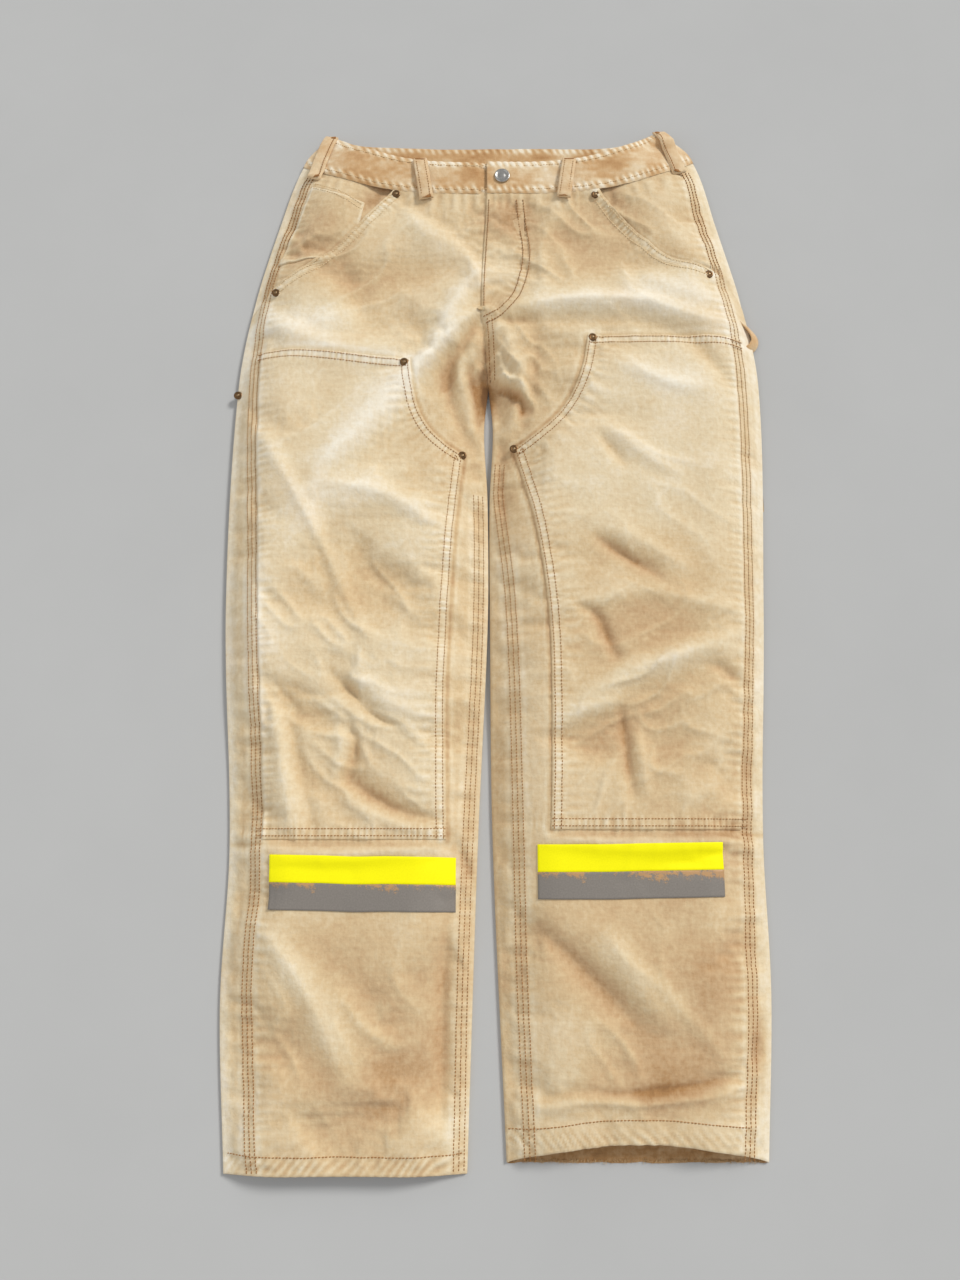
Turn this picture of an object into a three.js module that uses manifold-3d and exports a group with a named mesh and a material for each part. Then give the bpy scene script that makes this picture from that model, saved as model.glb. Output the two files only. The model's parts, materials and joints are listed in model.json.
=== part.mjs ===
// Double-front duck work trousers with reflective tape, lying on their back, front up.
// Millimetres. X runs across (the wearer's right leg is at -X), Y from the hems to the waist, Z up.
// Every cloth piece is a thin closed sheet laid out by two numbers: x, and the station s, which is
// the distance from the right hem along the leg. The front layer follows one height over the back.

import * as THREE from "three";
import { mergeVertices } from "three/addons/utils/BufferGeometryUtils.js";
import Module from "manifold-3d";

const wasm = await Module();
wasm.setup();

// ---- driving dimensions ----

const OUTSEAM = 1067; // right hem to the top of the back waistband
const INSEAM = 765; // right hem to the crotch
const LOWER_LEG = 284; // right hem to the line where the leg folds
const LEFT_SHIFT = 9; // the left leg lies this much nearer the waist
const CENTRE_X = -10; // where the centre front lies
// The legs are one pattern, but each lies a little differently, so each has its own widths.
const HEM_WIDTH = { right: 216, left: 233 }; // each leg opening, as it is spread
const CALF_FLARE = 12; // half way up the lower leg, wider than the hem
const KNEE_WIDTH = { right: 247, left: 261 };
const THIGH_WIDTH = { right: 265, left: 277 };
const HIP_HALF = { right: 267, left: 289 }; // centre line to outseam at its widest
const WAIST_HALF = { right: 202, left: 226 }; // centre line to the corner of the waistband
const LEG_GAP = 3.5; // between the legs where they lie side by side
const KNEE_INSET = { right: 10, left: 2 }; // how far the inseam runs out at the fold
const HEM_INSET = { right: 21, left: 15.5 }; // centre line to the inner end of each hem
const CROTCH_OPEN = 3.5; // each inseam stands back this far just below the crotch

const CLOTH = 1.4; // one layer of canvas
const LAYER_GAP = 0.4; // between a sheet and the one it lies on
const OVER_GAP = 0.6; // between sheets that curve differently
const EDGE_GAP = 0.4; // between two pieces that meet edge to edge
const BAND_GAP = 0.9; // between a panel and the waistband
const CROWN = 22; // how far the front layer stands over the back
const HEM_CROWN = 15;
const ROLL = 62; // the front layer climbs to its crown over this width

const BAND = 39; // waistband height
const BAND_CLOTH = 2.4;
const BAG_CLOTH = 1;
const WAIST_DIP = 38; // the front waist sags this far below the back waist
const FLY_LENGTH = 192;
const FLY_WIDTH = 40;

const PATCH_LENGTH = 507; // knee patch, hem side to hip side
const PATCH_INSET = 17; // from the outseam
const PATCH_ABOVE_FOLD = 6;
const TAPE_BAND = 24.6; // each colour of the reflective tape
const TAPE_LENGTH = 173;
const TAPE_INSET = { right: 20, left: 41 }; // from the inseam at the fold
const TAPE_BELOW_FOLD = 8;
const TAPE_FILM = 0.5;

const LOOP_WIDTH = 14; // belt loops
const LOOP_BOW = 5.6;
const LOOP_TAIL = 11; // below the waistband seam
const LOOP_FROM_CORNER = 24; // the side loops, from the corners of the waistband
const RIVET_CAP = 4.5; // radius
const RIVET_BURR = { radius: 2.9, thick: 0.8 }; // the washer behind the cloth
const RIVET_NUB = 1.5;
const RIVET_POST = 1.2;
const RIVET_FIT = 0.3;
const BUTTON_RADIUS = 8.5;
const BUTTON_SHANK = 3;
const BUTTONHOLE = 24;

const ZIP_X = CENTRE_X + 19;
const ZIP_DEPTH = 9.4; // teeth below the top of the front layer
const ZIP_TAPE = 0.8;
const ZIP_SLOT = 1.8; // between the two rows of teeth
const TEETH_WIDTH = 2.6;
const TEETH_THICK = 1.6;
const SLIDER_LENGTH = 9;
const PULL_LENGTH = 16;

const PALETTE = {
  canvas: [0xdcc396, 0.92, 0],
  patch: [0xe3cfa4, 0.92, 0],
  band: [0xcda067, 0.9, 0],
  lining: [0xcdbf9f, 0.95, 0],
  lime: [0xe6f000, 0.7, 0],
  silver: [0x7c7874, 0.55, 0.2],
  antique: [0x5a4a38, 0.45, 0.9],
  nickel: [0xb9b6ae, 0.3, 1],
  brass: [0xb08a4a, 0.4, 1],
};

// ---- small helpers ----

const clamp = THREE.MathUtils.clamp;
const lerp = THREE.MathUtils.lerp;
const ease = (from, to, v) => THREE.MathUtils.smoothstep(v, from, to);

// A smooth curve x(s) through [s, x] points.
function through(points) {
  const last = points.length - 1;
  const slope = points.map((p, i) => {
    const before = points[Math.max(i - 1, 0)];
    const after = points[Math.min(i + 1, last)];
    return (after[1] - before[1]) / (after[0] - before[0]);
  });
  return (s) => {
    let i = 0;
    while (i < last - 1 && s > points[i + 1][0]) i += 1;
    const span = points[i + 1][0] - points[i][0];
    const t = clamp((s - points[i][0]) / span, 0, 1);
    const rest = 1 - t;
    const start = (1 + 2 * t) * rest * rest * points[i][1] + t * rest * rest * span * slope[i];
    const end = t * t * (3 - 2 * t) * points[i + 1][1] - t * t * rest * span * slope[i + 1];
    return start + end;
  };
}

// n + 1 even values from a to b.
function steps(a, b, n) {
  return Array.from({ length: n + 1 }, (_, i) => lerp(a, b, i / n));
}

function solidOf(geometry) {
  const bare = geometry.index ? geometry.toNonIndexed() : geometry.clone();
  bare.deleteAttribute("normal");
  bare.deleteAttribute("uv");
  const merged = mergeVertices(bare, 1e-4);
  const mesh = new wasm.Mesh({
    numProp: 3,
    vertProperties: merged.attributes.position.array,
    triVerts: new Uint32Array(merged.index.array),
  });
  return new wasm.Manifold(mesh);
}

function geometryOf(solid) {
  const mesh = solid.getMesh();
  const geometry = new THREE.BufferGeometry();
  const stride = mesh.numProp;
  const count = mesh.vertProperties.length / stride;
  const position = new Float32Array(count * 3);
  for (let i = 0; i < count; i += 1)
    for (let axis = 0; axis < 3; axis += 1)
      position[3 * i + axis] = mesh.vertProperties[stride * i + axis];
  geometry.setAttribute("position", new THREE.BufferAttribute(position, 3));
  geometry.setIndex(new THREE.BufferAttribute(new Uint32Array(mesh.triVerts), 1));
  geometry.computeVertexNormals();
  return geometry;
}

// ---- the outline and the two heights ----

const BAND_SEAM = OUTSEAM - BAND;
const THIGH = (LOWER_LEG + INSEAM) / 2;

const centreLine = through([
  [INSEAM, CENTRE_X],
  [INSEAM + 80, CENTRE_X - 6],
  [BAND_SEAM, CENTRE_X],
  [OUTSEAM, CENTRE_X],
]);

// Side is -1 for the right leg and 1 for the left; shift says how much nearer the waist it lies.
function leg(tag, side, shift) {
  const inner = CENTRE_X + (side * LEG_GAP) / 2;
  const hemInner = CENTRE_X + side * HEM_INSET[tag];
  const hip = HIP_HALF[tag];
  const waist = WAIST_HALF[tag];
  const outer = through([
    [shift, hemInner + side * HEM_WIDTH[tag]],
    [shift + LOWER_LEG / 2, hemInner + side * (HEM_WIDTH[tag] + CALF_FLARE)],
    [shift + LOWER_LEG, inner + side * KNEE_WIDTH[tag]],
    [THIGH, inner + side * THIGH_WIDTH[tag]],
    [INSEAM, CENTRE_X + side * (hip + 1)],
    [OUTSEAM - 193, CENTRE_X + side * (hip - 13)],
    [OUTSEAM - 109, CENTRE_X + side * (hip - 34)],
    [OUTSEAM - 34, CENTRE_X + side * (waist + 5)],
    [OUTSEAM, CENTRE_X + side * (waist - 12)],
  ]);
  const inseam = through([
    [shift, hemInner],
    [shift + LOWER_LEG, inner + side * KNEE_INSET[tag]],
    [THIGH - 20, inner],
    [INSEAM - 130, inner],
    [INSEAM - 50, inner + side * CROTCH_OPEN],
    [INSEAM, CENTRE_X + (side * EDGE_GAP) / 2],
  ]);
  const rise = (s) => centreLine(s) + (side * EDGE_GAP) / 2;
  return {
    side,
    hem: shift,
    fold: LOWER_LEG + shift,
    outer,
    inner: (s) => (s < INSEAM ? inseam(s) : rise(s)),
  };
}

const RIGHT = leg("right", -1, 0);
const LEFT = leg("left", 1, LEFT_SHIFT);

// The back panel lies on the floor at the shins and on its own pockets above them.
function backTop(s) {
  return CLOTH + (CLOTH + LAYER_GAP) * ease(LOWER_LEG + 60, LOWER_LEG + 160, s);
}

// The top of the front layer.
function frontTop(x, s) {
  const side = x < centreLine(s) ? RIGHT : LEFT;
  const climb = (d) => Math.sin((Math.PI / 2) * clamp(d / ROLL, 0, 1));
  const fromOutseam = climb(Math.abs(side.outer(s) - x));
  const fromInseam = climb(Math.abs(side.inner(s) - x));
  const joined = ease(INSEAM - 10, INSEAM + 50, s);
  const crown = lerp(HEM_CROWN, CROWN, ease(side.hem, side.fold, s));
  return backTop(s) + LAYER_GAP + CLOTH + crown * fromOutseam * lerp(fromInseam, 1, joined);
}

// The front waist sags towards the hems, most at the centre.
function frontY(x, s) {
  const side = x < centreLine(s) ? RIGHT : LEFT;
  const across = clamp((x - centreLine(s)) / (side.outer(s) - centreLine(s)), 0, 1);
  const sag = WAIST_DIP * (1 - across ** 3) * ease(BAND_SEAM - 190, BAND_SEAM, s);
  return s - sag - OUTSEAM / 2;
}

const backY = (x, s) => s - OUTSEAM / 2;

// ---- the sheet every cloth piece is made of ----

// Columns across a panel, close together where the front layer climbs from its edges.
const ROLL_STEPS = [0, 0.03, 0.06, 0.095, 0.13, 0.17, 0.215, 0.26];
const ACROSS = [...ROLL_STEPS, 0.5, ...ROLL_STEPS.map((u) => 1 - u).reverse()];
const PLAIN = [0, 1];

// rows: pairs of [x, s] points, one on each edge; top: height of the upper face at (x, s).
function sheet({ rows, across = ACROSS, top, place = frontY, thick = CLOTH }) {
  const columns = across.length;
  const position = [];
  for (const under of [0, thick])
    for (const [a, b] of rows)
      for (const u of across) {
        const x = lerp(a[0], b[0], u);
        const s = lerp(a[1], b[1], u);
        position.push(x, place(x, s), top(x, s) - under);
      }
  const layer = rows.length * columns;
  const index = [];
  const quad = (a, b, c, d) => index.push(a, b, c, a, c, d);
  for (let j = 0; j + 1 < rows.length; j += 1)
    for (let i = 0; i + 1 < columns; i += 1) {
      const corner = j * columns + i;
      const next = corner + columns;
      quad(corner, corner + 1, next + 1, next);
      quad(layer + corner, layer + next, layer + next + 1, layer + corner + 1);
    }
  const rim = [];
  for (let i = 0; i < columns; i += 1) rim.push(i);
  for (let j = 1; j < rows.length; j += 1) rim.push(j * columns + columns - 1);
  for (let i = columns - 2; i >= 0; i -= 1) rim.push((rows.length - 1) * columns + i);
  for (let j = rows.length - 2; j > 0; j -= 1) rim.push(j * columns);
  rim.forEach((here, i) => {
    const next = rim[(i + 1) % rim.length];
    quad(here, layer + here, layer + next, next);
  });
  const geometry = new THREE.BufferGeometry();
  geometry.setAttribute("position", new THREE.Float32BufferAttribute(position, 3));
  geometry.setIndex(index);
  return solidOf(geometry);
}

// Rows run from the lower x to the higher x so that the top face looks up.
function rowsBetween(stations, one, other) {
  return stations.map((s) => {
    const ends = [[one(s), s], [other(s), s]];
    return ends.sort((a, b) => a[0] - b[0]);
  });
}

const raised = (by) => (x, s) => frontTop(x, s) + by;

// Stations of each front panel. Every layer over or under a panel is laid on the same rows and
// columns, so its faces stay parallel to the panel's.
function stationsOf(side) {
  const half = EDGE_GAP / 2;
  return {
    shin: steps(side.hem, side.fold - half, 6),
    thigh: [
      ...steps(side.fold + half, INSEAM - 130, 7),
      ...steps(INSEAM - 95, INSEAM - 10, 3),
      ...steps(INSEAM + 5, INSEAM + 50, 3),
      ...steps(INSEAM + 85, BAND_SEAM - BAND_GAP, 6),
    ],
  };
}

// A plan outline of [x, s] points, drawn up through the whole height.
function outlineSolid(points) {
  const corners = points.map(([x, s]) => new THREE.Vector2(x, frontY(x, s)));
  const depth = 4 * CROWN;
  const geometry = new THREE.ExtrudeGeometry(new THREE.Shape(corners), { depth, bevelEnabled: false });
  return solidOf(geometry.translate(0, 0, -CROWN));
}

// A layer over (or under) the front panel of one leg, cut to an outline.
function cover({ side, part, outline, rise, thick = CLOTH }) {
  const all = stationsOf(side)[part];
  const reach = outline.map(([, s]) => s);
  const from = Math.max(all.findIndex((s) => s > Math.min(...reach)) - 1, 0);
  const beyond = all.findIndex((s) => s >= Math.max(...reach));
  const to = beyond < 0 ? all.length - 1 : beyond;
  const rows = rowsBetween(all.slice(from, to + 1), side.outer, side.inner);
  return sheet({ rows, top: rise, thick }).intersect(outlineSolid(outline));
}

const along = (curve, from, to, n) => steps(from, to, n).map((s) => [curve(s), s]);

// ---- the parts, kept as solids until every hole is cut ----

const solids = new Map();
const finishes = new Map();

function add(name, finish, solid) {
  solids.set(name, solid);
  finishes.set(name, finish);
}

function cut(name, tool) {
  solids.set(name, solids.get(name).subtract(tool));
}

const SIDES = [
  { tag: "right", leg: RIGHT },
  { tag: "left", leg: LEFT },
];

// ---- front pockets: where the front panel is scooped away ----

const POCKET_DROP = { right: 150, left: 128 }; // waistband seam to the end of the opening
const SCOOP = {
  right: through([
    [BAND_SEAM - POCKET_DROP.right, CENTRE_X - 231],
    [BAND_SEAM - 118, CENTRE_X - 190],
    [BAND_SEAM - 86, CENTRE_X - 161],
    [BAND_SEAM - 43, CENTRE_X - 132],
    [BAND_SEAM, CENTRE_X - 104],
  ]),
  left: through([
    [BAND_SEAM - POCKET_DROP.left, CENTRE_X + 240],
    [BAND_SEAM - 115, CENTRE_X + 201],
    [BAND_SEAM - 90, CENTRE_X + 176],
    [BAND_SEAM - 44, CENTRE_X + 146],
    [BAND_SEAM, CENTRE_X + 122],
  ]),
};

// ---- front and back panels ----

// The plan of a pocket opening, from the scooped edge out past the outseam.
function opening(tag, side, widen) {
  const low = BAND_SEAM - POCKET_DROP[tag];
  const beyond = CENTRE_X + side.side * (HIP_HALF[tag] + 20);
  const edge = along((s) => SCOOP[tag](s) - side.side * widen, low, BAND_SEAM, 9);
  return [[beyond, low + 1], ...edge, [edge.at(-1)[0], OUTSEAM], [beyond, OUTSEAM]];
}

for (const { tag, leg: side } of SIDES) {
  const { shin, thigh } = stationsOf(side);
  const backRows = [
    ...steps(side.fold + EDGE_GAP / 2, INSEAM, 7),
    ...steps(INSEAM + 40, BAND_SEAM - BAND_GAP, 4),
  ];
  const back = (x, s) => backTop(s);
  const full = sheet({ rows: rowsBetween(thigh, side.outer, side.inner), top: frontTop });
  add(`${tag}_front_thigh`, "canvas", full.subtract(outlineSolid(opening(tag, side, 0))));
  add(`${tag}_front_shin`, "canvas", sheet({
    rows: rowsBetween(shin, side.outer, side.inner),
    top: frontTop,
  }));
  add(`${tag}_back_shin`, "canvas", sheet({
    rows: rowsBetween(shin, side.outer, side.inner),
    across: PLAIN,
    top: back,
    place: backY,
  }));
  add(`${tag}_back_thigh`, "canvas", sheet({
    rows: rowsBetween(backRows, side.outer, side.inner),
    across: PLAIN,
    top: back,
    place: backY,
  }));
}

// ---- knee patches ----

// The inner edge runs up beside the inseam to a corner, then curves away to the hip-side edge.
// Distances are from the centre line: at the bottom, the thigh, short of the corner, the corner,
// twice along the curve, and at the top.
const PATCH_SHAPE = {
  right: { reach: [40, 41, 36, 22, 58, 78, 83], length: 493, corner: 80 },
  left: { reach: [58, 59, 47, 18, 62, 92, 106], length: 515, corner: 73 },
};

const patches = {};
for (const { tag, leg: side } of SIDES) {
  const { reach, length, corner: drop } = PATCH_SHAPE[tag];
  const bottom = side.fold + PATCH_ABOVE_FOLD;
  const corner = INSEAM - drop;
  const top = bottom + length;
  const out = (i) => CENTRE_X + side.side * reach[i];
  const edge = through([
    [bottom, out(0)],
    [THIGH, out(1)],
    [corner - 78, out(2)],
    [corner, out(3)],
  ]);
  const curve = through([
    [corner, out(3)],
    [corner + 24, out(4)],
    [corner + 58, out(5)],
    [top, out(6)],
  ]);
  patches[tag] = { corner, top, edge, curve };
  const hipEnd = bottom + PATCH_LENGTH;
  const outline = [
    ...along((s) => side.outer(s) - side.side * PATCH_INSET, hipEnd, bottom, 10),
    ...along(edge, bottom, corner, 8),
    ...along(curve, corner, top, 6).slice(1),
  ];
  const rise = raised(CLOTH + LAYER_GAP);
  add(`${tag}_knee_patch`, "patch", cover({ side, part: "thigh", outline, rise }));
}

// ---- reflective tape, one strip of each colour on each shin ----

for (const { tag, leg: side } of SIDES) {
  const start = side.inner(side.fold) + side.side * TAPE_INSET[tag];
  const end = start + side.side * TAPE_LENGTH;
  const stripTop = side.fold - TAPE_BELOW_FOLD;
  const strips = [
    ["lime", stripTop - TAPE_BAND, stripTop],
    ["silver", stripTop - 2 * TAPE_BAND - EDGE_GAP, stripTop - TAPE_BAND - EDGE_GAP],
  ];
  for (const [colour, from, to] of strips)
    add(`${tag}_${colour}_tape`, colour, cover({
      side,
      part: "shin",
      outline: [[start, from], [end, from], [end, to], [start, to]],
      rise: raised(TAPE_FILM + LAYER_GAP),
      thick: TAPE_FILM,
    }));
}

// ---- pockets under and behind the panels ----

const SINK = CLOTH + LAYER_GAP; // one layer down
for (const { tag, leg: side } of SIDES) {
  const low = BAND_SEAM - POCKET_DROP[tag];
  const high = BAND_SEAM - BAND_GAP;
  // The facing fills the opening and reaches under the panel; beside the outseam it comes up level.
  const sunk = (x, s) => ease(6, 22, Math.abs(side.outer(s) - x));
  const inner = (s) => SCOOP[tag](s) - side.side * 16;
  const tucked = (s) => side.outer(s) - side.side * 24;
  const beyond = CENTRE_X + side.side * (HIP_HALF[tag] + 20);
  add(`${tag}_pocket_facing`, "canvas", cover({
    side,
    part: "thigh",
    outline: [
      [tucked(low - 18), low - 18],
      [tucked(low), low + 2.5],
      [beyond, low + 2.5],
      [beyond, high],
      ...along(inner, high, low, 8),
      [inner(low), low - 18],
    ],
    rise: (x, s) => frontTop(x, s) - SINK * sunk(x, s),
  }));
  // The bag hangs from the band under the facing, with round lower corners.
  const bag = { outer: CENTRE_X + side.side * 186, inner: CENTRE_X + side.side * 66, low: low - 84 };
  const corner = 24;
  const turn = (x, toward) => steps(0, Math.PI / 2, 4).map((angle) => [
    x + toward * corner * (1 - Math.cos(angle)),
    bag.low + corner * (1 - Math.sin(angle)),
  ]);
  const outerTop = inner(high) + side.side * 60;
  add(`${tag}_pocket_bag`, "lining", cover({
    side,
    part: "thigh",
    outline: [
      [bag.inner, high],
      ...turn(bag.inner, side.side),
      ...turn(bag.outer, -side.side).reverse(),
      [bag.outer, low + 20],
      [outerTop, high],
    ],
    rise: raised(-2 * SINK),
    thick: BAG_CLOTH,
  }));
}

add("coin_pocket", "canvas", cover({
  side: RIGHT,
  part: "thigh",
  outline: [
    ...along((s) => RIGHT.outer(s) + 26, BAND_SEAM - 24, BAND_SEAM - 112, 3),
    ...along((s) => SCOOP.right(s) - 3, BAND_SEAM - 112, BAND_SEAM - 24, 5),
  ],
  rise: frontTop,
}));

// Patch pockets on the seat and on the outer thigh; the trousers lie on them.
const BACK_POCKET = { width: 165, height: 185, below: 62, fromCentre: 34 };
const TOOL_POCKET = { width: 84, height: 136, below: 4 };

for (const { tag, leg: side } of SIDES) {
  const seatTop = BAND_SEAM - BACK_POCKET.below;
  const near = CENTRE_X + side.side * BACK_POCKET.fromCentre;
  const far = near + side.side * BACK_POCKET.width;
  const toolTop = INSEAM - TOOL_POCKET.below;
  const floorTop = () => CLOTH;
  add(`${tag}_back_pocket`, "canvas", sheet({
    rows: rowsBetween([seatTop - BACK_POCKET.height, seatTop], () => near, () => far),
    across: PLAIN,
    top: floorTop,
    place: backY,
  }));
  add(`${tag}_tool_pocket`, "canvas", sheet({
    rows: rowsBetween(
      steps(toolTop - TOOL_POCKET.height, toolTop, 3),
      (s) => side.outer(s) - side.side * 2,
      (s) => side.outer(s) - side.side * TOOL_POCKET.width,
    ),
    across: PLAIN,
    top: floorTop,
    place: backY,
  }));
}

// ---- waistband ----

const bandRows = [BAND_SEAM, BAND_SEAM + BAND / 2, OUTSEAM];
const bandRise = BAND_CLOTH - CLOTH;
const UNDERLAP = 36;

// The right end dives under the left end, which carries the buttonhole.
function rightBandTop(x, s) {
  const dive = (BAND_CLOTH + OVER_GAP) * ease(CENTRE_X - 20, CENTRE_X - 2, x);
  return frontTop(x, s) + bandRise - dive;
}

// Both ends keep the panels' columns, so the seam under the band stays parallel.
const rightShare = (CENTRE_X - RIGHT.outer(BAND_SEAM)) / (CENTRE_X + UNDERLAP - RIGHT.outer(BAND_SEAM));
add("waistband_right_front", "band", sheet({
  rows: rowsBetween(bandRows, RIGHT.outer, () => CENTRE_X + UNDERLAP),
  across: [...ACROSS.map((u) => u * rightShare), 1],
  top: rightBandTop,
  thick: BAND_CLOTH,
}));
add("waistband_left_front", "band", sheet({
  rows: rowsBetween(bandRows, LEFT.inner, LEFT.outer),
  top: raised(bandRise),
  thick: BAND_CLOTH,
}));
add("waistband_back", "band", sheet({
  rows: rowsBetween(bandRows, RIGHT.outer, LEFT.outer),
  across: PLAIN,
  top: (x, s) => backTop(s),
  place: backY,
}));

// ---- belt loops ----

// Sewn down at both ends, bowed off the band between them.
function beltLoop(name, x) {
  const from = BAND_SEAM - LOOP_TAIL;
  const stations = [from, from + 7, from + 14, BAND_SEAM + BAND / 2, OUTSEAM - 10, OUTSEAM - 5, OUTSEAM];
  const bow = (s) => Math.min(ease(from + 5, from + 16, s), 1 - ease(OUTSEAM - 12, OUTSEAM - 3, s));
  add(name, "canvas", sheet({
    rows: rowsBetween(stations, () => x - LOOP_WIDTH / 2, () => x + LOOP_WIDTH / 2),
    across: [0, 0.5, 1],
    top: (across, s) => frontTop(across, s) + bandRise + OVER_GAP + CLOTH + LOOP_BOW * bow(s),
  }));
}

beltLoop("belt_loop_right_front", CENTRE_X - 72);
beltLoop("belt_loop_left_front", CENTRE_X + 86);
beltLoop("belt_loop_right_side", CENTRE_X - WAIST_HALF.right + LOOP_FROM_CORNER);
beltLoop("belt_loop_left_side", CENTRE_X + WAIST_HALF.left - LOOP_FROM_CORNER);

// The three loops behind are pressed flat between the band and the floor.
const BACK_LOOPS = [
  ["belt_loop_right_back", CENTRE_X - 95],
  ["belt_loop_centre_back", CENTRE_X],
  ["belt_loop_left_back", CENTRE_X + 95],
];
for (const [name, x] of BACK_LOOPS)
  add(name, "canvas", sheet({
    rows: rowsBetween([BAND_SEAM - LOOP_TAIL, OUTSEAM], () => x - LOOP_WIDTH / 2, () => x + LOOP_WIDTH / 2),
    across: PLAIN,
    top: () => CLOTH,
    place: backY,
  }));

// ---- fly and zip ----

const FLY_LOW = BAND_SEAM - FLY_LENGTH;
const FLY_TOP = BAND_SEAM - BAND_GAP;
const flyRows = steps(FLY_LOW, FLY_TOP, 4);
const toothTop = frontTop(ZIP_X, FLY_TOP) - ZIP_DEPTH;
const ZIP_END = { bottom: 12, top: 4 }; // the tapes stop short of the fly's ends
const TEETH_START = 3; // from each end of the tape
const TAPE_FLAT = 2.4; // of tape beside the teeth before it bends
const TAPE_RISE = 7; // across which it climbs or drops to its seam
const TAPE_SEAM = 3;
const PLATE = { gap: 0.3, thick: 0.8 }; // of the slider, the stops and the pull
const FACING_DEPTH = CLOTH + LAYER_GAP;
const FACING_CLOTH = 1;
const SHIELD_DEPTH = ZIP_DEPTH + TEETH_THICK + 1.6;

add("fly_facing", "canvas", sheet({
  rows: rowsBetween(flyRows, () => CENTRE_X + 1, () => CENTRE_X + FLY_WIDTH),
  across: [0, 0.5, 1],
  top: raised(-FACING_DEPTH),
  thick: FACING_CLOTH,
}));

// The shield is sewn to the right front at one edge and hangs behind the zip.
add("fly_shield", "canvas", sheet({
  rows: rowsBetween(flyRows, () => CENTRE_X - 26, () => CENTRE_X + FLY_WIDTH - 4),
  across: [0, 0.1, 0.2, 0.3, 0.42, 1],
  top: (x, s) => {
    const dive = ease(CENTRE_X - 20, CENTRE_X, x);
    return frontTop(x, s) - lerp(FACING_DEPTH, SHIELD_DEPTH, dive);
  },
  thick: FACING_CLOTH,
}));

// Each zip tape carries its row of teeth and reaches the cloth that it is sewn to.
const ZIP_FROM = frontY(ZIP_X, FLY_LOW + ZIP_END.bottom);
const ZIP_TO = frontY(ZIP_X, FLY_TOP) - ZIP_END.top;
const tapeMiddle = toothTop - (TEETH_THICK - ZIP_TAPE) / 2;

function box(x, y, z) {
  const geometry = new THREE.BoxGeometry(x[1] - x[0], y[1] - y[0], z[1] - z[0]);
  geometry.translate((x[0] + x[1]) / 2, (y[0] + y[1]) / 2, (z[0] + z[1]) / 2);
  return solidOf(geometry);
}

// A section in X and Z, drawn out along Y.
function prism(points, y) {
  const shape = new THREE.Shape(points.map(([x, z]) => new THREE.Vector2(x, z)));
  const geometry = new THREE.ExtrudeGeometry(shape, { depth: y[1] - y[0], bevelEnabled: false });
  geometry.rotateX(Math.PI / 2);
  geometry.translate(0, y[1], 0);
  return solidOf(geometry);
}

function zipTape(side, farTop) {
  const near = ZIP_X + side * (ZIP_SLOT / 2);
  const bend = near + side * (TEETH_WIDTH + TAPE_FLAT);
  const far = bend + side * TAPE_RISE;
  const tape = prism([
    [near, tapeMiddle],
    [bend, tapeMiddle],
    [far, farTop],
    [far + side * TAPE_SEAM, farTop],
    [far + side * TAPE_SEAM, farTop - ZIP_TAPE],
    [far, farTop - ZIP_TAPE],
    [bend, tapeMiddle - ZIP_TAPE],
    [near, tapeMiddle - ZIP_TAPE],
  ], [ZIP_FROM, ZIP_TO]);
  const reach = [near, near + side * TEETH_WIDTH].sort((a, b) => a - b);
  const length = [ZIP_FROM + TEETH_START, ZIP_TO - TEETH_START];
  const teeth = box(reach, length, [toothTop - TEETH_THICK, toothTop]);
  return tape.add(teeth);
}

const facingUnder = frontTop(ZIP_X, FLY_TOP) - FACING_DEPTH - FACING_CLOTH;
const shieldOver = frontTop(ZIP_X, FLY_TOP) - SHIELD_DEPTH;
add("zip_tape_left", "lining", zipTape(1, facingUnder - LAYER_GAP));
add("zip_tape_right", "lining", zipTape(-1, shieldOver + LAYER_GAP + ZIP_TAPE));

const stopReach = ZIP_SLOT / 2 + TEETH_WIDTH;
const plateZ = [toothTop + PLATE.gap, toothTop + PLATE.gap + PLATE.thick];
const footTop = toothTop - TEETH_THICK - PLATE.gap;
const footZ = [footTop - PLATE.thick, footTop];
add("zip_bottom_stop", "brass", box(
  [ZIP_X - stopReach, ZIP_X + stopReach],
  [ZIP_FROM + 4, ZIP_FROM + 7],
  plateZ,
));
for (const [tag, side] of [["right", -1], ["left", 1]]) {
  const reach = [ZIP_X + side * (ZIP_SLOT / 2 + 0.4), ZIP_X + side * stopReach];
  add(`zip_top_stop_${tag}`, "brass", box(
    reach.sort((a, b) => a - b),
    [ZIP_TO - 6, ZIP_TO - 4],
    plateZ,
  ));
}

// The slider holds both rows between two plates, joined by a post in the slot.
const SLIDER_TOP = ZIP_TO - 7.5;
const sliderHalf = stopReach + 0.6;
const postHalf = ZIP_SLOT / 2 - PLATE.gap;
const sliderY = [SLIDER_TOP - SLIDER_LENGTH, SLIDER_TOP];
const upper = box([ZIP_X - sliderHalf, ZIP_X + sliderHalf], sliderY, plateZ);
const lower = box([ZIP_X - sliderHalf, ZIP_X + sliderHalf], sliderY, footZ);
const post = box([ZIP_X - postHalf, ZIP_X + postHalf], sliderY, [footZ[0] + 0.2, plateZ[1] - 0.2]);
const bridgeY = [SLIDER_TOP - 4, SLIDER_TOP - 2.6];
const bridge = box([ZIP_X - 0.5, ZIP_X + 0.5], bridgeY, [plateZ[1] - 0.2, plateZ[1] + 1.7]);
add("zip_slider", "brass", upper.add(lower).add(post).add(bridge));

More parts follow.
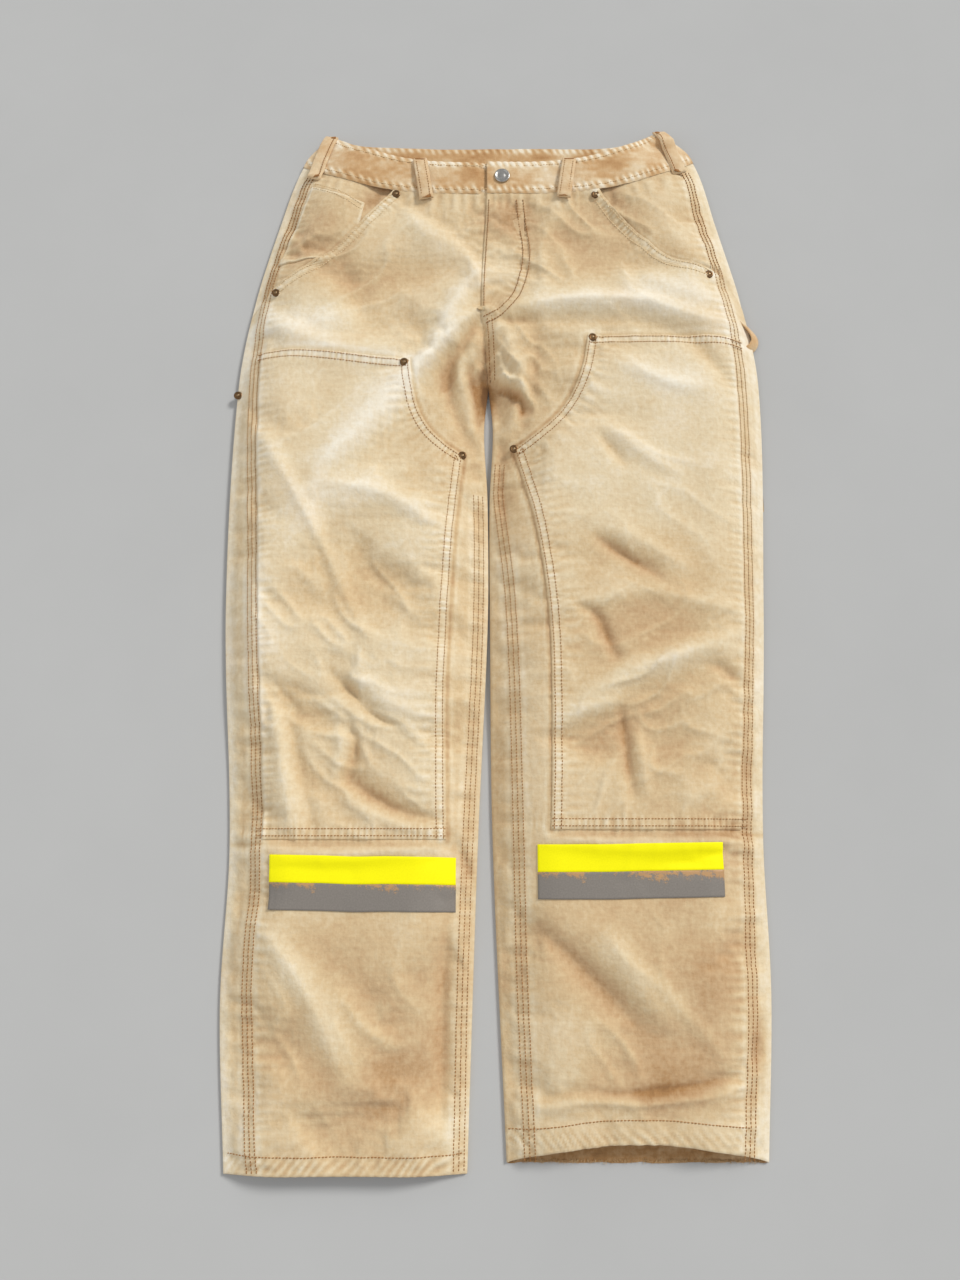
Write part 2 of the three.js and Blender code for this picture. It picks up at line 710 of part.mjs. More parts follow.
// The pull hangs from the bridge by its eye and lies towards the crotch.
const pullZ = [plateZ[1] + PLATE.gap, plateZ[1] + PLATE.gap + PLATE.thick];
const pullTop = SLIDER_TOP - 1.6;
const tab = box([ZIP_X - 2.2, ZIP_X + 2.2], [pullTop - PULL_LENGTH, pullTop], pullZ);
const eye = box(
  [ZIP_X - 0.9, ZIP_X + 0.9],
  [bridgeY[0] - 0.5, bridgeY[1] + 0.3],
  [pullZ[0] - 1, pullZ[1] + 1],
);
add("zip_pull", "brass", tab.subtract(eye));

// ---- waist button ----

const buttonX = CENTRE_X + 15.5;
const buttonY = frontY(buttonX, BAND_SEAM + BAND / 2);
const leftBandTop = frontTop(buttonX, BAND_SEAM + BAND / 2) + bandRise;
const underlapTop = rightBandTop(buttonX, BAND_SEAM + BAND / 2);

function turned(profile, segments, x, y, z) {
  const points = profile.map(([r, h]) => new THREE.Vector2(r, h));
  const geometry = new THREE.LatheGeometry(points, segments);
  geometry.rotateX(Math.PI / 2);
  geometry.translate(x, y, z);
  return solidOf(geometry);
}

const STEM = 1.1; // radius of the tack's stem
const STEM_BORE = STEM + 0.3;
const TACK_HEAD = { radius: 4.2, thick: 0.8 };
const SLOT_ROOM = 0.5; // round the shank in the buttonhole
const shankFoot = underlapTop - leftBandTop + LAYER_GAP;
add("waist_button_cap", "nickel", turned([
  [STEM_BORE, shankFoot],
  [BUTTON_SHANK, shankFoot],
  [BUTTON_SHANK, LAYER_GAP],
  [BUTTON_RADIUS - 0.4, LAYER_GAP],
  [BUTTON_RADIUS, LAYER_GAP + 0.7],
  [BUTTON_RADIUS - 1.2, LAYER_GAP + 1.8],
  [BUTTON_RADIUS - 2.2, LAYER_GAP + 1.5],
  [0, LAYER_GAP + 2.3],
  [0, LAYER_GAP + 1],
  [STEM_BORE, LAYER_GAP + 1],
  [STEM_BORE, shankFoot],
], 20, buttonX, buttonY, leftBandTop));
const tackFoot = shankFoot - LAYER_GAP - BAND_CLOTH - LAYER_GAP;
add("waist_button_tack", "nickel", turned([
  [0, tackFoot - TACK_HEAD.thick],
  [TACK_HEAD.radius, tackFoot - TACK_HEAD.thick],
  [TACK_HEAD.radius, tackFoot],
  [STEM, tackFoot],
  [STEM, LAYER_GAP + 0.6],
  [0, LAYER_GAP + 0.6],
], 16, buttonX, buttonY, leftBandTop));

// A slot with round ends for the shank, and a hole for the stem.
function pin(radius, x, y, from, to) {
  const geometry = new THREE.CylinderGeometry(radius, radius, to - from, 16);
  geometry.rotateX(Math.PI / 2);
  geometry.translate(x, y, (from + to) / 2);
  return solidOf(geometry);
}
const slotHalf = BUTTON_SHANK + SLOT_ROOM;
const slotEnd = buttonX + BUTTONHOLE - slotHalf;
const slotZ = [leftBandTop - BAND_CLOTH - 1, leftBandTop + 1];
const slot = box([buttonX, slotEnd], [buttonY - slotHalf, buttonY + slotHalf], slotZ)
  .add(pin(slotHalf, buttonX, buttonY, ...slotZ))
  .add(pin(slotHalf, slotEnd, buttonY, ...slotZ));
cut("waistband_left_front", slot);
const stemZ = [underlapTop - BAND_CLOTH - 1, underlapTop + 1];
cut("waistband_right_front", pin(STEM + RIVET_FIT, buttonX, buttonY, ...stemZ));

// ---- rivets ----

const UP = new THREE.Vector3(0, 0, 1);
const UNIT = new THREE.Vector3(1, 1, 1);

// A rivet square to the cloth at (x, s): cap over the top sheet, burr under the lowest.
function rivet(name, x, s, topRise, stack, pierced) {
  const step = 2;
  const origin = new THREE.Vector3(x, frontY(x, s), frontTop(x, s) + topRise);
  const run = new THREE.Vector3(2 * step, 0, frontTop(x + step, s) - frontTop(x - step, s));
  const climb = new THREE.Vector3(0, 2 * step, frontTop(x, s + step) - frontTop(x, s - step));
  const normal = run.cross(climb).normalize();
  const turn = new THREE.Quaternion().setFromUnitVectors(UP, normal);
  placeRivet(name, new THREE.Matrix4().compose(origin, turn, UNIT), stack, pierced);
}

function placeRivet(name, matrix, stack, pierced) {
  const profile = [
    [0, -stack - LAYER_GAP - RIVET_BURR.thick],
    [RIVET_BURR.radius, -stack - LAYER_GAP - RIVET_BURR.thick],
    [RIVET_BURR.radius, -stack - LAYER_GAP],
    [RIVET_POST, -stack - LAYER_GAP],
    [RIVET_POST, LAYER_GAP],
    [RIVET_CAP, LAYER_GAP],
    [RIVET_CAP - 0.5, LAYER_GAP + 0.9],
    [RIVET_NUB + 0.2, LAYER_GAP + 1.2],
    [RIVET_NUB, LAYER_GAP + 1.8],
    [0, LAYER_GAP + 2],
  ].map(([r, h]) => new THREE.Vector2(r, h));
  const body = new THREE.LatheGeometry(profile, 12);
  body.rotateX(Math.PI / 2).applyMatrix4(matrix);
  add(name, "antique", solidOf(body));
  const bore = RIVET_POST + RIVET_FIT;
  const hole = new THREE.CylinderGeometry(bore, bore, stack + 4, 12);
  hole.rotateX(Math.PI / 2).translate(0, 0, -stack / 2).applyMatrix4(matrix);
  for (const other of pierced) cut(other, solidOf(hole));
}

const RIVET_EDGE = 7; // from the edges that a rivet holds
for (const { tag, leg: side } of SIDES) {
  const low = BAND_SEAM - POCKET_DROP[tag];
  const scoop = SCOOP[tag];
  const panel = `${tag}_front_thigh`;
  const facing = `${tag}_pocket_facing`;
  const bag = `${tag}_pocket_bag`;
  const topS = BAND_SEAM - RIVET_EDGE;
  const topX = scoop(topS) - side.side * RIVET_EDGE;
  const bagStack = 2 * SINK + BAG_CLOTH;
  rivet(`rivet_${tag}_pocket_top`, topX, topS, 0, bagStack, [panel, facing, bag]);
  const lowX = scoop(low) - side.side;
  const lowStack = SINK + CLOTH + OVER_GAP;
  rivet(`rivet_${tag}_pocket_low`, lowX, low - RIVET_EDGE - 2, 0, lowStack, [panel, facing]);
  const { corner, top, edge, curve } = patches[tag];
  const layers = [`${tag}_knee_patch`, panel];
  const hipX = curve(top) + side.side * RIVET_EDGE;
  rivet(`rivet_${tag}_patch_hip`, hipX, top - RIVET_EDGE, SINK, SINK + CLOTH, layers);
  const cornerX = edge(corner) + side.side * (RIVET_EDGE + 1);
  rivet(`rivet_${tag}_patch_corner`, cornerX, corner - RIVET_EDGE, SINK, SINK + CLOTH, layers);
}

// The tool pocket's rivet sits on the outseam and faces outwards.
const TOOL_NOTCH = { x: 6.4, y: 7, z: 8 }; // cut in the layers round its shank
const toolS = INSEAM - TOOL_POCKET.below - 6;
const toolZ = RIVET_CAP + 0.1;
const outward = new THREE.Quaternion().setFromUnitVectors(UP, new THREE.Vector3(-1, 0, 0));
const outseamPoint = new THREE.Vector3(RIGHT.outer(toolS) - 0.2, backY(0, toolS), toolZ);
placeRivet(
  "rivet_tool_pocket",
  new THREE.Matrix4().compose(outseamPoint, outward, UNIT),
  2.4,
  [],
);
const toolHole = new THREE.BoxGeometry(TOOL_NOTCH.x, TOOL_NOTCH.y, TOOL_NOTCH.z).translate(
  RIGHT.outer(toolS) + TOOL_NOTCH.x / 2 - 0.6,
  backY(0, toolS),
  toolZ,
);
for (const name of ["right_front_thigh", "right_back_thigh", "right_tool_pocket"])
  cut(name, solidOf(toolHole));

// ---- hammer loop ----

const HAMMER = { at: INSEAM + 66, span: 44, reach: 11, strap: 1.6, height: 8.6, foot: 1.6, off: 0.4 };

// A strap on edge that stands off the left outseam between its two sewn ends.
function hammerLoop() {
  const from = HAMMER.at - HAMMER.span / 2;
  const to = HAMMER.at + HAMMER.span / 2;
  const start = new THREE.Vector2(LEFT.outer(from) + HAMMER.off, backY(0, from));
  const end = new THREE.Vector2(LEFT.outer(to) + HAMMER.off, backY(0, to));
  const outline = (grow) => {
    const middle = (start.x + end.x) / 2 + (HAMMER.reach - grow) * 1.5;
    const curve = new THREE.CubicBezierCurve(
      new THREE.Vector2(start.x, start.y + grow),
      new THREE.Vector2(middle, start.y + grow),
      new THREE.Vector2(middle - 4, end.y - grow),
      new THREE.Vector2(end.x, end.y - grow),
    );
    return curve.getPoints(12);
  };
  const shape = new THREE.Shape([...outline(0), ...outline(HAMMER.strap).reverse()]);
  const geometry = new THREE.ExtrudeGeometry(shape, { depth: HAMMER.height, bevelEnabled: false });
  geometry.translate(0, 0, HAMMER.foot);
  return solidOf(geometry);
}
add("hammer_loop", "canvas", hammerLoop());

// ---- the assembly ----

const assembly = new THREE.Group();
for (const [name, solid] of solids) {
  const [color, roughness, metalness] = PALETTE[finishes.get(name)];
  const material = new THREE.MeshStandardMaterial({ color, roughness, metalness });
  const mesh = new THREE.Mesh(geometryOf(solid), material);
  mesh.name = name;
  assembly.add(mesh);
}

// The origin is under the middle of the whole, on the floor.
const bounds = new THREE.Box3().setFromObject(assembly);
const middle = bounds.getCenter(new THREE.Vector3());
assembly.position.set(-middle.x, -middle.y, -bounds.min.z);

export default assembly;
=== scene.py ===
# %% [markdown]
# # Work trousers laid flat, in cloth, thread and metal
# The part is a pair of tan cotton-duck work trousers with a doubled knee, a strip of reflective tape on
# each shin, a buttoned waistband and a zipped fly. The measured solids give every size; this file makes
# what the eye sees: worn canvas that lies in soft folds, rows of thread, and small dark rivets.
# All lengths in the functions are millimetres, because cloth is thought of in millimetres, and only
# `add_mesh` turns them into metres.

# %% Load the frame
import json
import bpy
import numpy as np
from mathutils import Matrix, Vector

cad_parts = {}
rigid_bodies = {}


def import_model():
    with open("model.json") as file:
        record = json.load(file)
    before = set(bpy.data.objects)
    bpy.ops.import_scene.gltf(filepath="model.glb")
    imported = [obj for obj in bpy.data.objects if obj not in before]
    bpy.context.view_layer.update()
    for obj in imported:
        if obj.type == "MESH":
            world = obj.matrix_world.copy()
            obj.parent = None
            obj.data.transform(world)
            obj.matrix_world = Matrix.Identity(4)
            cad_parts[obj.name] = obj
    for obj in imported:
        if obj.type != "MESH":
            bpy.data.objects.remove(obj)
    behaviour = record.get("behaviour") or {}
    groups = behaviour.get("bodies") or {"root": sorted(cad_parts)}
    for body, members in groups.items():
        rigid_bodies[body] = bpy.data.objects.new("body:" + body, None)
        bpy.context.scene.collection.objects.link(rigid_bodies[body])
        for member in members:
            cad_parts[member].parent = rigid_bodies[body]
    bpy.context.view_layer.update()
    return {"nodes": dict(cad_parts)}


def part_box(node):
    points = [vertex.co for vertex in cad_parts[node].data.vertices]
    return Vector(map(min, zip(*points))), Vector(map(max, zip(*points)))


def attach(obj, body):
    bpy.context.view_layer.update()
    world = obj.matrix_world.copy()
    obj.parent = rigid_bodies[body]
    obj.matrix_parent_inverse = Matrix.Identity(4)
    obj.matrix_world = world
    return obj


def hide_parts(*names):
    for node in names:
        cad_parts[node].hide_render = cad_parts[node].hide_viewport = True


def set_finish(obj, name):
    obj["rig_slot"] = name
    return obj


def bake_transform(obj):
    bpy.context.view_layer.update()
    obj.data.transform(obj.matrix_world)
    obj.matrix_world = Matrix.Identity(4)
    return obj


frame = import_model()

# %% [markdown]
# ## The outline of the lay
# A trouser leg laid flat is bounded by two long curves, the outseam and the inseam. Each could be drawn
# as a Bezier curve by hand, but the cloth has to be worked out from numbers anyway, so each is one smooth
# function x(s) of the station s, the distance up the leg from the right hem.

# %% Smooth steps and curves
def ease(low, high, v):
    """Smooth step: 3t^2 - 2t^3 of how far v is from low to high, held at 0 and 1 beyond."""
    t = np.clip((v - low) / (high - low), 0, 1)
    return t * t * (3 - 2 * t)


def through(points):
    """A smooth curve x(s) through [s, x] points: cubic Hermite pieces, each slope from both neighbours."""
    s, x = np.array(points, float).T
    ahead, behind = np.minimum(np.arange(len(s)) + 1, len(s) - 1), np.maximum(np.arange(len(s)) - 1, 0)
    slope = (x[ahead] - x[behind]) / (s[ahead] - s[behind])

    def curve(v):
        v = np.asarray(v, float)
        i = np.clip(np.searchsorted(s, v) - 1, 0, len(s) - 2)
        span = s[i + 1] - s[i]
        t = np.clip((v - s[i]) / span, 0, 1)
        rest = 1 - t
        start = (1 + 2 * t) * rest**2 * x[i] + t * rest**2 * span * slope[i]
        return start + t * t * (3 - 2 * t) * x[i + 1] - t * t * rest * span * slope[i + 1]

    return curve


# %% The two legs
CENTRE = -10.0
INSEAM, FOLD, THIGH = 765.0, 284.0, 524.5
BAND_SEAM, TOP = 1028.0, 1067.0
HALF = TOP / 2
# the corners of the waist are drawn in and up by so much
DRAWN_IN, DRAWN_UP = {"right": 24, "left": 31}, {"right": 15, "left": 21}
centre_line = through([[INSEAM, CENTRE], [845, CENTRE - 6], [BAND_SEAM, CENTRE], [TOP, CENTRE]])


def make_leg(tag, side, shift, hem, knee, thigh, hip, waist, knee_in, hem_in):
    """One leg as it lies: its outseam and inseam curves, from widths measured across the flat cloth."""
    inner, hem_inner = CENTRE + side * 1.75, CENTRE + side * hem_in
    outer = through([
        [shift, hem_inner + side * hem],
        [shift + FOLD / 2, hem_inner + side * (hem + 12)],
        [shift + FOLD, inner + side * knee],
        [THIGH, inner + side * thigh],
        [INSEAM, CENTRE + side * (hip + 1)],
        [TOP - 193, CENTRE + side * (hip - 13)],
        [TOP - 109, CENTRE + side * (hip - 34)],
        [TOP - 34, CENTRE + side * (waist + 5)],
        [TOP, CENTRE + side * (waist - DRAWN_IN[tag])],
    ])
    inseam = through([
        [shift, hem_inner],
        [shift + FOLD, inner + side * knee_in],
        [THIGH - 20, inner],
        [INSEAM - 130, inner],
        [INSEAM - 50, inner + side * 3.5],
        [INSEAM, CENTRE + side * 0.2],
    ])
    return {
        "tag": tag,
        "side": side,
        "hem": shift,
        "fold": FOLD + shift,
        "outer": outer,
        "inner": lambda s: np.where(s < INSEAM, inseam(s), centre_line(s) + side * 0.2),
    }


RIGHT = make_leg("right", -1, 0.0, 216, 247, 265, 267, 202, 10, 21)
LEFT = make_leg("left", 1, 9.0, 233, 261, 277, 289, 226, 2, 15.5)
LEGS = {"right": RIGHT, "left": LEFT}
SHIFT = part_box("waistband_left_front")[0].x * 1000 - (CENTRE + 0.2)
SCOOP = {
    "right": through([[846, -274], [862, -256], [878, -241], [910, -200], [942, -171], [985, -142],
                      [BAND_SEAM, -114]]),
    "left": through([[872, 262], [888, 247], [900, 230], [913, 191], [938, 166], [984, 136],
                     [BAND_SEAM, 112]]),
}
print("the frame lies", round(SHIFT, 2), "mm from the pattern's centre")

# %% [markdown]
# ## How high the cloth lies
# The back lies on the floor. The front climbs from both seams over what is inside, and sags at the waist.
# A cloth solver could find this from a flat pattern, but then nothing would fit the solids, so the broad
# shape is the same function that the solids follow, and folds are added to it.

# %% The broad surface
def back_top(s):
    """Height of the back layer: on the floor at the shins, on its own pockets above them."""
    return 1.4 + 1.8 * ease(344, 444, s)


def rise(leg, x, s):
    """Top of the front: the back, one layer, and a crown that climbs as a quarter sine from each seam."""
    climb = lambda d: np.sin(np.pi / 2 * np.clip(np.abs(d) / 62, 0, 1))
    crown = 15 + 7 * ease(leg["hem"], leg["fold"], s)
    beside = climb(leg["inner"](s) - x)
    beside = beside + (1 - beside) * ease(INSEAM - 10, INSEAM + 50, s)
    return back_top(s) + 1.8 + crown * climb(leg["outer"](s) - x) * beside


def sag(leg, x, s):
    """How far the front waist has slipped towards the hems: most at the centre, and at the corners it is
    drawn up a little."""
    across = np.clip((x - centre_line(s)) / (leg["outer"](s) - centre_line(s)), 0, 1)
    slipped = 38 * (1 - across**3) * ease(BAND_SEAM - 190, BAND_SEAM, s)
    return slipped - DRAWN_UP[leg["tag"]] * across**5 * ease(BAND_SEAM - 130, BAND_SEAM + 20, s)


def y_of(leg, x, s):
    return s - sag(leg, x, s) - HALF


def station(leg, x, y):
    """The station of a point seen from above: s = y + half the length + sag(s), found by repeating it."""
    s = y + HALF
    for _ in range(7):
        s = y + HALF + sag(leg, x, s)
    return s


# %% [markdown]
# ## Relief, wear and painted shade, drawn on a net
# Folds, seam puckers and the pattern of wear belong to the place on the garment, not to one mesh: the
# front cloth, the knee piece on it, the thread and the rivets all have to agree. They could be textures,
# but then the shape would be missing from the mesh. So two nets of numbers lie over the whole garment,
# one for height and one for tone, and every piece reads them.

# %% The net
STEP = 1.25
NET_X, NET_Y = np.arange(-330, 331, STEP), np.arange(-565, 566, STEP)
GX, GY = np.meshgrid(NET_X, NET_Y)
RELIEF, TONE = np.zeros_like(GX), np.zeros_like(GX)


def read(net, x, y):
    """The net's value at points, blended between its four nearest crossings."""
    i = np.clip((np.asarray(x) - NET_X[0]) / STEP, 0, len(NET_X) - 1.001)
    j = np.clip((np.asarray(y) - NET_Y[0]) / STEP, 0, len(NET_Y) - 1.001)
    a, b = i.astype(int), j.astype(int)
    u, v = i - a, j - b
    low = net[b, a] * (1 - u) + net[b, a + 1] * u
    return low * (1 - v) + (net[b + 1, a] * (1 - u) + net[b + 1, a + 1] * u) * v


def noise(x, y, size, seed):
    """Value noise from -1 to 1: seeded random numbers on a square lattice, smoothly blended."""
    table = np.random.default_rng(seed).uniform(-1, 1, (97, 97))
    gx, gy = np.asarray(x) / size + 40, np.asarray(y) / size + 40
    i, j = np.floor(gx).astype(int), np.floor(gy).astype(int)
    u, v = gx - i, gy - j
    u, v = u * u * (3 - 2 * u), v * v * (3 - 2 * v)
    pick = lambda a, b: table[a % 97, b % 97]
    low = pick(i, j) * (1 - u) + pick(i + 1, j) * u
    return low * (1 - v) + (pick(i, j + 1) * (1 - u) + pick(i + 1, j + 1) * u) * v


def softened(line):
    """Cuts the corners of a line of points twice, as a tailor's curve does."""
    points = np.array(line, float)
    for _ in range(2):
        a, b = points[:-1], points[1:]
        middle = np.stack([0.75 * a + 0.25 * b, 0.25 * a + 0.75 * b], 1).reshape(-1, 2)
        points = np.vstack([points[:1], middle, points[-1:]])
    return points


def near(line, x, y):
    """Signed distance to a line of points (positive on its left), how far along it, and its length."""
    best, away, run, at = np.full(np.shape(x), 1e9), np.zeros(np.shape(x)), np.zeros(np.shape(x)), 0.0
    for (ax, ay), (bx, by) in zip(line[:-1], line[1:]):
        dx, dy = bx - ax, by - ay
        length = np.hypot(dx, dy) + 1e-9
        t = np.clip(((x - ax) * dx + (y - ay) * dy) / length**2, 0, 1)
        px, py = x - ax - t * dx, y - ay - t * dy
        d = np.hypot(px, py)
        closer = d < best
        best = np.where(closer, d, best)
        away = np.where(closer, np.sign(dx * py - dy * px + 1e-12) * d, away)
        run = np.where(closer, at + t * length, run)
        at += length
    return away, run, at


def window(line, pad):
    """The part of the net that a line and its surroundings cover."""
    low, high = np.min(line, 0) - pad, np.max(line, 0) + pad
    i = slice(*np.searchsorted(NET_X, [low[0], high[0]]))
    j = slice(*np.searchsorted(NET_Y, [low[1], high[1]]))
    return j, i


def stroke(line, width, height=0.0, tone=0.0, lean=0.0, power=1.6):
    """A soft ridge (or valley) along a line: exp(-(distance/width)^power), wider on its left by lean,
    and fading towards both ends."""
    line = softened(line)
    win = window(line, 3 * width * (1 + abs(lean)))
    away, run, total = near(line, GX[win], GY[win])
    shape = np.exp(-((np.abs(away) / (width * (1 + lean * np.sign(away)))) ** power))
    shape *= np.sqrt(np.sin(np.pi * (0.06 + 0.88 * run / total)))
    RELIEF[win] += height * shape
    # tone paints the fold into the colour: crests paler from wear and painted highlight, valleys darker with
    # painted shade
    TONE[win] += tone * shape


def pucker(line, reach, height, pitch, seed, tone=0.0, slant=0.0, only=0):
    """Seam pucker: ridges square to a seam, a sine of the distance along it whose pitch and strength
    wander, fading as exp(-(distance/reach)^2). slant tilts the ridges, only keeps one side of the seam."""
    line = np.array(line, float)
    win = window(line, 2.6 * reach)
    away, run, _ = near(line, GX[win], GY[win])
    phase = (run + slant * away) / pitch + 0.9 * noise(run, 0 * run, 3.5 * pitch, seed)
    strength = 0.62 + 0.38 * noise(run, 0 * run + 50, 2.2 * pitch, seed + 1)
    wave = np.sin(2 * np.pi * phase) * strength * np.exp(-((away / reach) ** 2))
    if only:
        wave = wave * ease(-1.5, 2.0, only * away)
    RELIEF[win] += height * wave
    # tone paints the same wave into the colour: painted highlight on the ridges and painted shade in the
    # furrows, with rubbed wear
    TONE[win] += tone * wave


def patch_of(x, y, rx, ry, tone, turn=0.0):
    """A soft patch of tone, used for stains, bleached places and painted shade: a Gaussian with radii rx and
    ry, turned by so many degrees.
    """
    c, s = np.cos(np.radians(turn)), np.sin(np.radians(turn))
    u, v = ((GX - x) * c + (GY - y) * s) / rx, (-(GX - x) * s + (GY - y) * c) / ry
    TONE[...] += tone * np.exp(-(u * u + v * v))


# %% [markdown]
# ## The big folds
# Canvas that has been worn keeps its folds: long ones that run from the crotch over the thigh, short
# broken ones behind the knee. A crest is made paler, partly rubbed wear and partly painted highlight, and
# a valley is made darker with painted shade. Each fold is one stroke with a crest line, a width, a height
# and a change of tone, placed where such cloth folds.

# %% Folds of the right leg
for line, *shape in (
    ([[-242, 160], [-206, 98], [-170, 30], [-146, -25], [-124, -60]], 13, 6.5, 0.15, -0.25),
    ([[-228, 128], [-190, 60], [-165, 0], [-142, -40]], 15, -4.5, -0.12),
    ([[-20, 352], [-46, 322], [-58, 288], [-76, 256], [-92, 232]], 15, 6.5, 0.30),
    ([[-92, 234], [-124, 192], [-176, 138], [-206, 100]], 21, 5.5, 0.25),
    ([[-150, 62], [-118, 2], [-90, -30], [-62, -42]], 19, -5.5, -0.13),
    ([[-178, 112], [-130, 104], [-104, 95], [-70, 70]], 9, 3.2, 0.12),
    ([[-130, 8], [-100, -12], [-72, -38]], 8, 2.6, 0.08),
    ([[-136, -62], [-136, -80], [-146, -90], [-128, -96]], 5, 3.2, 0.12),
    ([[-164, -86], [-136, -110]], 6, -3.2, -0.12),
    ([[-228, -88], [-196, -122]], 9, -3.2, -0.1),
    ([[-146, -100], [-120, -128], [-96, -140]], 6, -4.2, -0.16),
    ([[-132, -92], [-104, -118], [-62, -128]], 10, 3.4, 0.14),
    ([[-209, -95], [-181, -109], [-150, -104]], 6, -2.6, -0.1),
    ([[-206, -110], [-194, -168], [-178, -226]], 8, -3.4, -0.1),
    ([[-220, -108], [-208, -168], [-196, -228]], 10, 3.0, 0.1),
    ([[-147, -130], [-136, -155], [-145, -187]], 5, -3.6, -0.13),
    ([[-158, -132], [-150, -158], [-160, -190]], 7, 3.2, 0.14),
    ([[-142, -190], [-115, -208], [-92, -220], [-58, -224]], 6, -4.6, -0.2),
    ([[-150, -200], [-118, -222], [-84, -232]], 8, 3.4, 0.1),
    ([[-228, -252], [-190, -254], [-148, -257], [-100, -253], [-60, -250]], 6, 4.2, 0.1),
    ([[-43, -245], [-34, -264], [-25, -284]], 6, -3.2, -0.12),
    ([[-226, -318], [-190, -355], [-160, -405], [-138, -452]], 13, 4.8, 0.24),
    ([[-48, -318], [-55, -372], [-54, -428], [-54, -488]], 6.5, -6.0, -0.08, 0.2),
    ([[-34, -330], [-40, -390], [-38, -470]], 10, 2.8, 0.1),
    ([[-174, 380], [-156, 335], [-140, 298]], 17, -4.5, -0.13),
    ([[-120, 352], [-150, 300], [-196, 282]], 26, 3.5, 0.12),
    ([[-100, 430], [-80, 400], [-40, 384]], 12, 2.6, 0.08),
    ([[-250, 300], [-180, 262], [-110, 262]], 12, 3.0, 0.12),
    ([[-236, 60], [-244, -40], [-232, -140]], 12, 2.6, 0.08),
):
    stroke(line, *shape)
print("right leg relief", round(RELIEF.min(), 1), round(RELIEF.max(), 1))

# %% Folds of the left leg
for line, *shape in (
    ([[14, 312], [60, 318], [110, 322], [160, 318], [214, 296], [250, 296]], 11, 6.0, 0.2),
    ([[30, 296], [90, 300], [150, 300], [200, 280]], 11, -3.4, -0.1),
    ([[76, 455], [54, 420], [46, 372], [52, 340]], 12, 3.4, 0.1),
    ([[150, 352], [196, 330], [240, 322]], 16, 3.2, 0.16),
    ([[100, 52], [126, 34], [160, 14]], 6, -4.8, -0.26),
    ([[118, 62], [150, 44], [186, 20]], 10, 3.2, 0.12),
    ([[78, -18], [98, -27], [104, -46], [114, -70]], 5.5, -4.6, -0.24),
    ([[90, -110], [123, -88], [182, -66], [238, -44]], 14, 4.6, 0.2),
    ([[112, -12], [150, 0], [176, -10], [242, -24]], 10, 3.4, 0.15),
    ([[60, -20], [96, -12], [126, 2]], 8, 3.0, 0.1),
    ([[104, 166], [128, 134]], 6, -3.2, -0.14),
    ([[118, 170], [150, 140], [182, 122]], 8, 3.0, 0.1),
    ([[130, 246], [182, 222], [214, 218]], 11, 3.2, 0.12),
    ([[205, 276], [228, 248], [246, 224]], 12, -3.8, -0.12),
    ([[52, -132], [84, -119], [124, -112]], 9, 3.2, 0.16),
    ([[110, -86], [156, -76], [186, -62]], 10, 3.0, 0.14),
    ([[208, -76], [234, -92]], 7, -3.2, -0.13),
    ([[117, -121], [121, -150], [122, -176], [126, -202]], 5, -4.2, -0.2),
    ([[131, -136], [135, -165], [138, -198]], 7, 3.0, 0.1),
    ([[56, -148], [84, -158], [110, -164]], 12, -3.4, -0.12),
    ([[46, -241], [100, -246], [155, -248], [200, -244], [240, -250]], 6, 4.0, 0.1),
    ([[36, -322], [66, -350], [95, -380], [122, -408]], 12, -4.8, -0.16),
    ([[92, -326], [120, -362], [144, -398]], 17, 4.4, 0.14),
    ([[34, -476], [72, -470], [98, -470], [121, -473], [170, -468], [214, -460]], 4, 3.0, 0.12),
    ([[40, -468], [76, -463], [110, -465], [160, -460], [212, -452]], 4, -2.6, -0.14),
    ([[196, -470], [214, -440], [222, -400]], 12, 2.4, 0.08),
):
    stroke(line, *shape)
print("left leg relief", round(RELIEF.min(), 1), round(RELIEF.max(), 1))

# %% [markdown]
# ## The crotch
# Four seams meet here and the cloth bunches: it dips into a hole at the end of the centre seam, made dark
# with painted shade, with a rolled fold on each side of it. It is made as strokes too, steeper than the
# others.

# %% The crotch
for line, *shape in (
    ([[-16, 296], [-13, 250], [-11, 222]], 7, -5.0, -0.08),
    # painted shade: the darkest strokes (-0.42 here, -0.35 below) paint the hole at the end of the centre
    # seam
    ([[-14, 236], [-11, 217], [-10, 196]], 9, -11.0, -0.42),
    ([[-40, 268], [-42, 238], [-30, 210], [-26, 176]], 10, 5.0, 0.12),
    ([[-52, 262], [-58, 232], [-46, 196], [-34, 168]], 7, -3.6, -0.14),
    ([[4, 286], [16, 256], [26, 232], [22, 200], [8, 168]], 9, 5.5, 0.1),
    ([[38, 290], [40, 252], [36, 214], [24, 176]], 8, -4.2, -0.14),
    ([[-2, 262], [8, 240], [12, 218]], 5, 3.5, 0.12),
    ([[0, 226], [14, 218], [24, 200]], 4.5, -3.6, -0.22),
    ([[-36, 374], [-24, 360], [-18, 336]], 8, 3.2, 0.1),
    ([[-14, 232], [-13, 214], [-12, 190]], 6, -6.0, -0.35),
    ([[-20, 300], [-36, 272], [-52, 246], [-50, 222]], 6, -4.5, -0.22),
    ([[-12, 310], [-34, 300], [-60, 268], [-84, 244]], 7, 4.0, 0.16),
    ([[-30, 246], [-24, 220], [-20, 180]], 4, -3.8, -0.25),
    ([[-6, 240], [10, 236], [30, 224], [36, 206]], 4.5, 4.0, 0.20),
    ([[2, 226], [16, 222], [28, 206], [22, 190]], 4, -4.6, -0.32),
    ([[-4, 300], [20, 296], [44, 300]], 5, -2.6, -0.12),
    ([[4, 160], [2, 132], [4, 100], [8, 60]], 7, -2.4, -0.22),
):
    stroke(line, *shape)
FOLD_GAIN = 1.22
RELIEF *= FOLD_GAIN

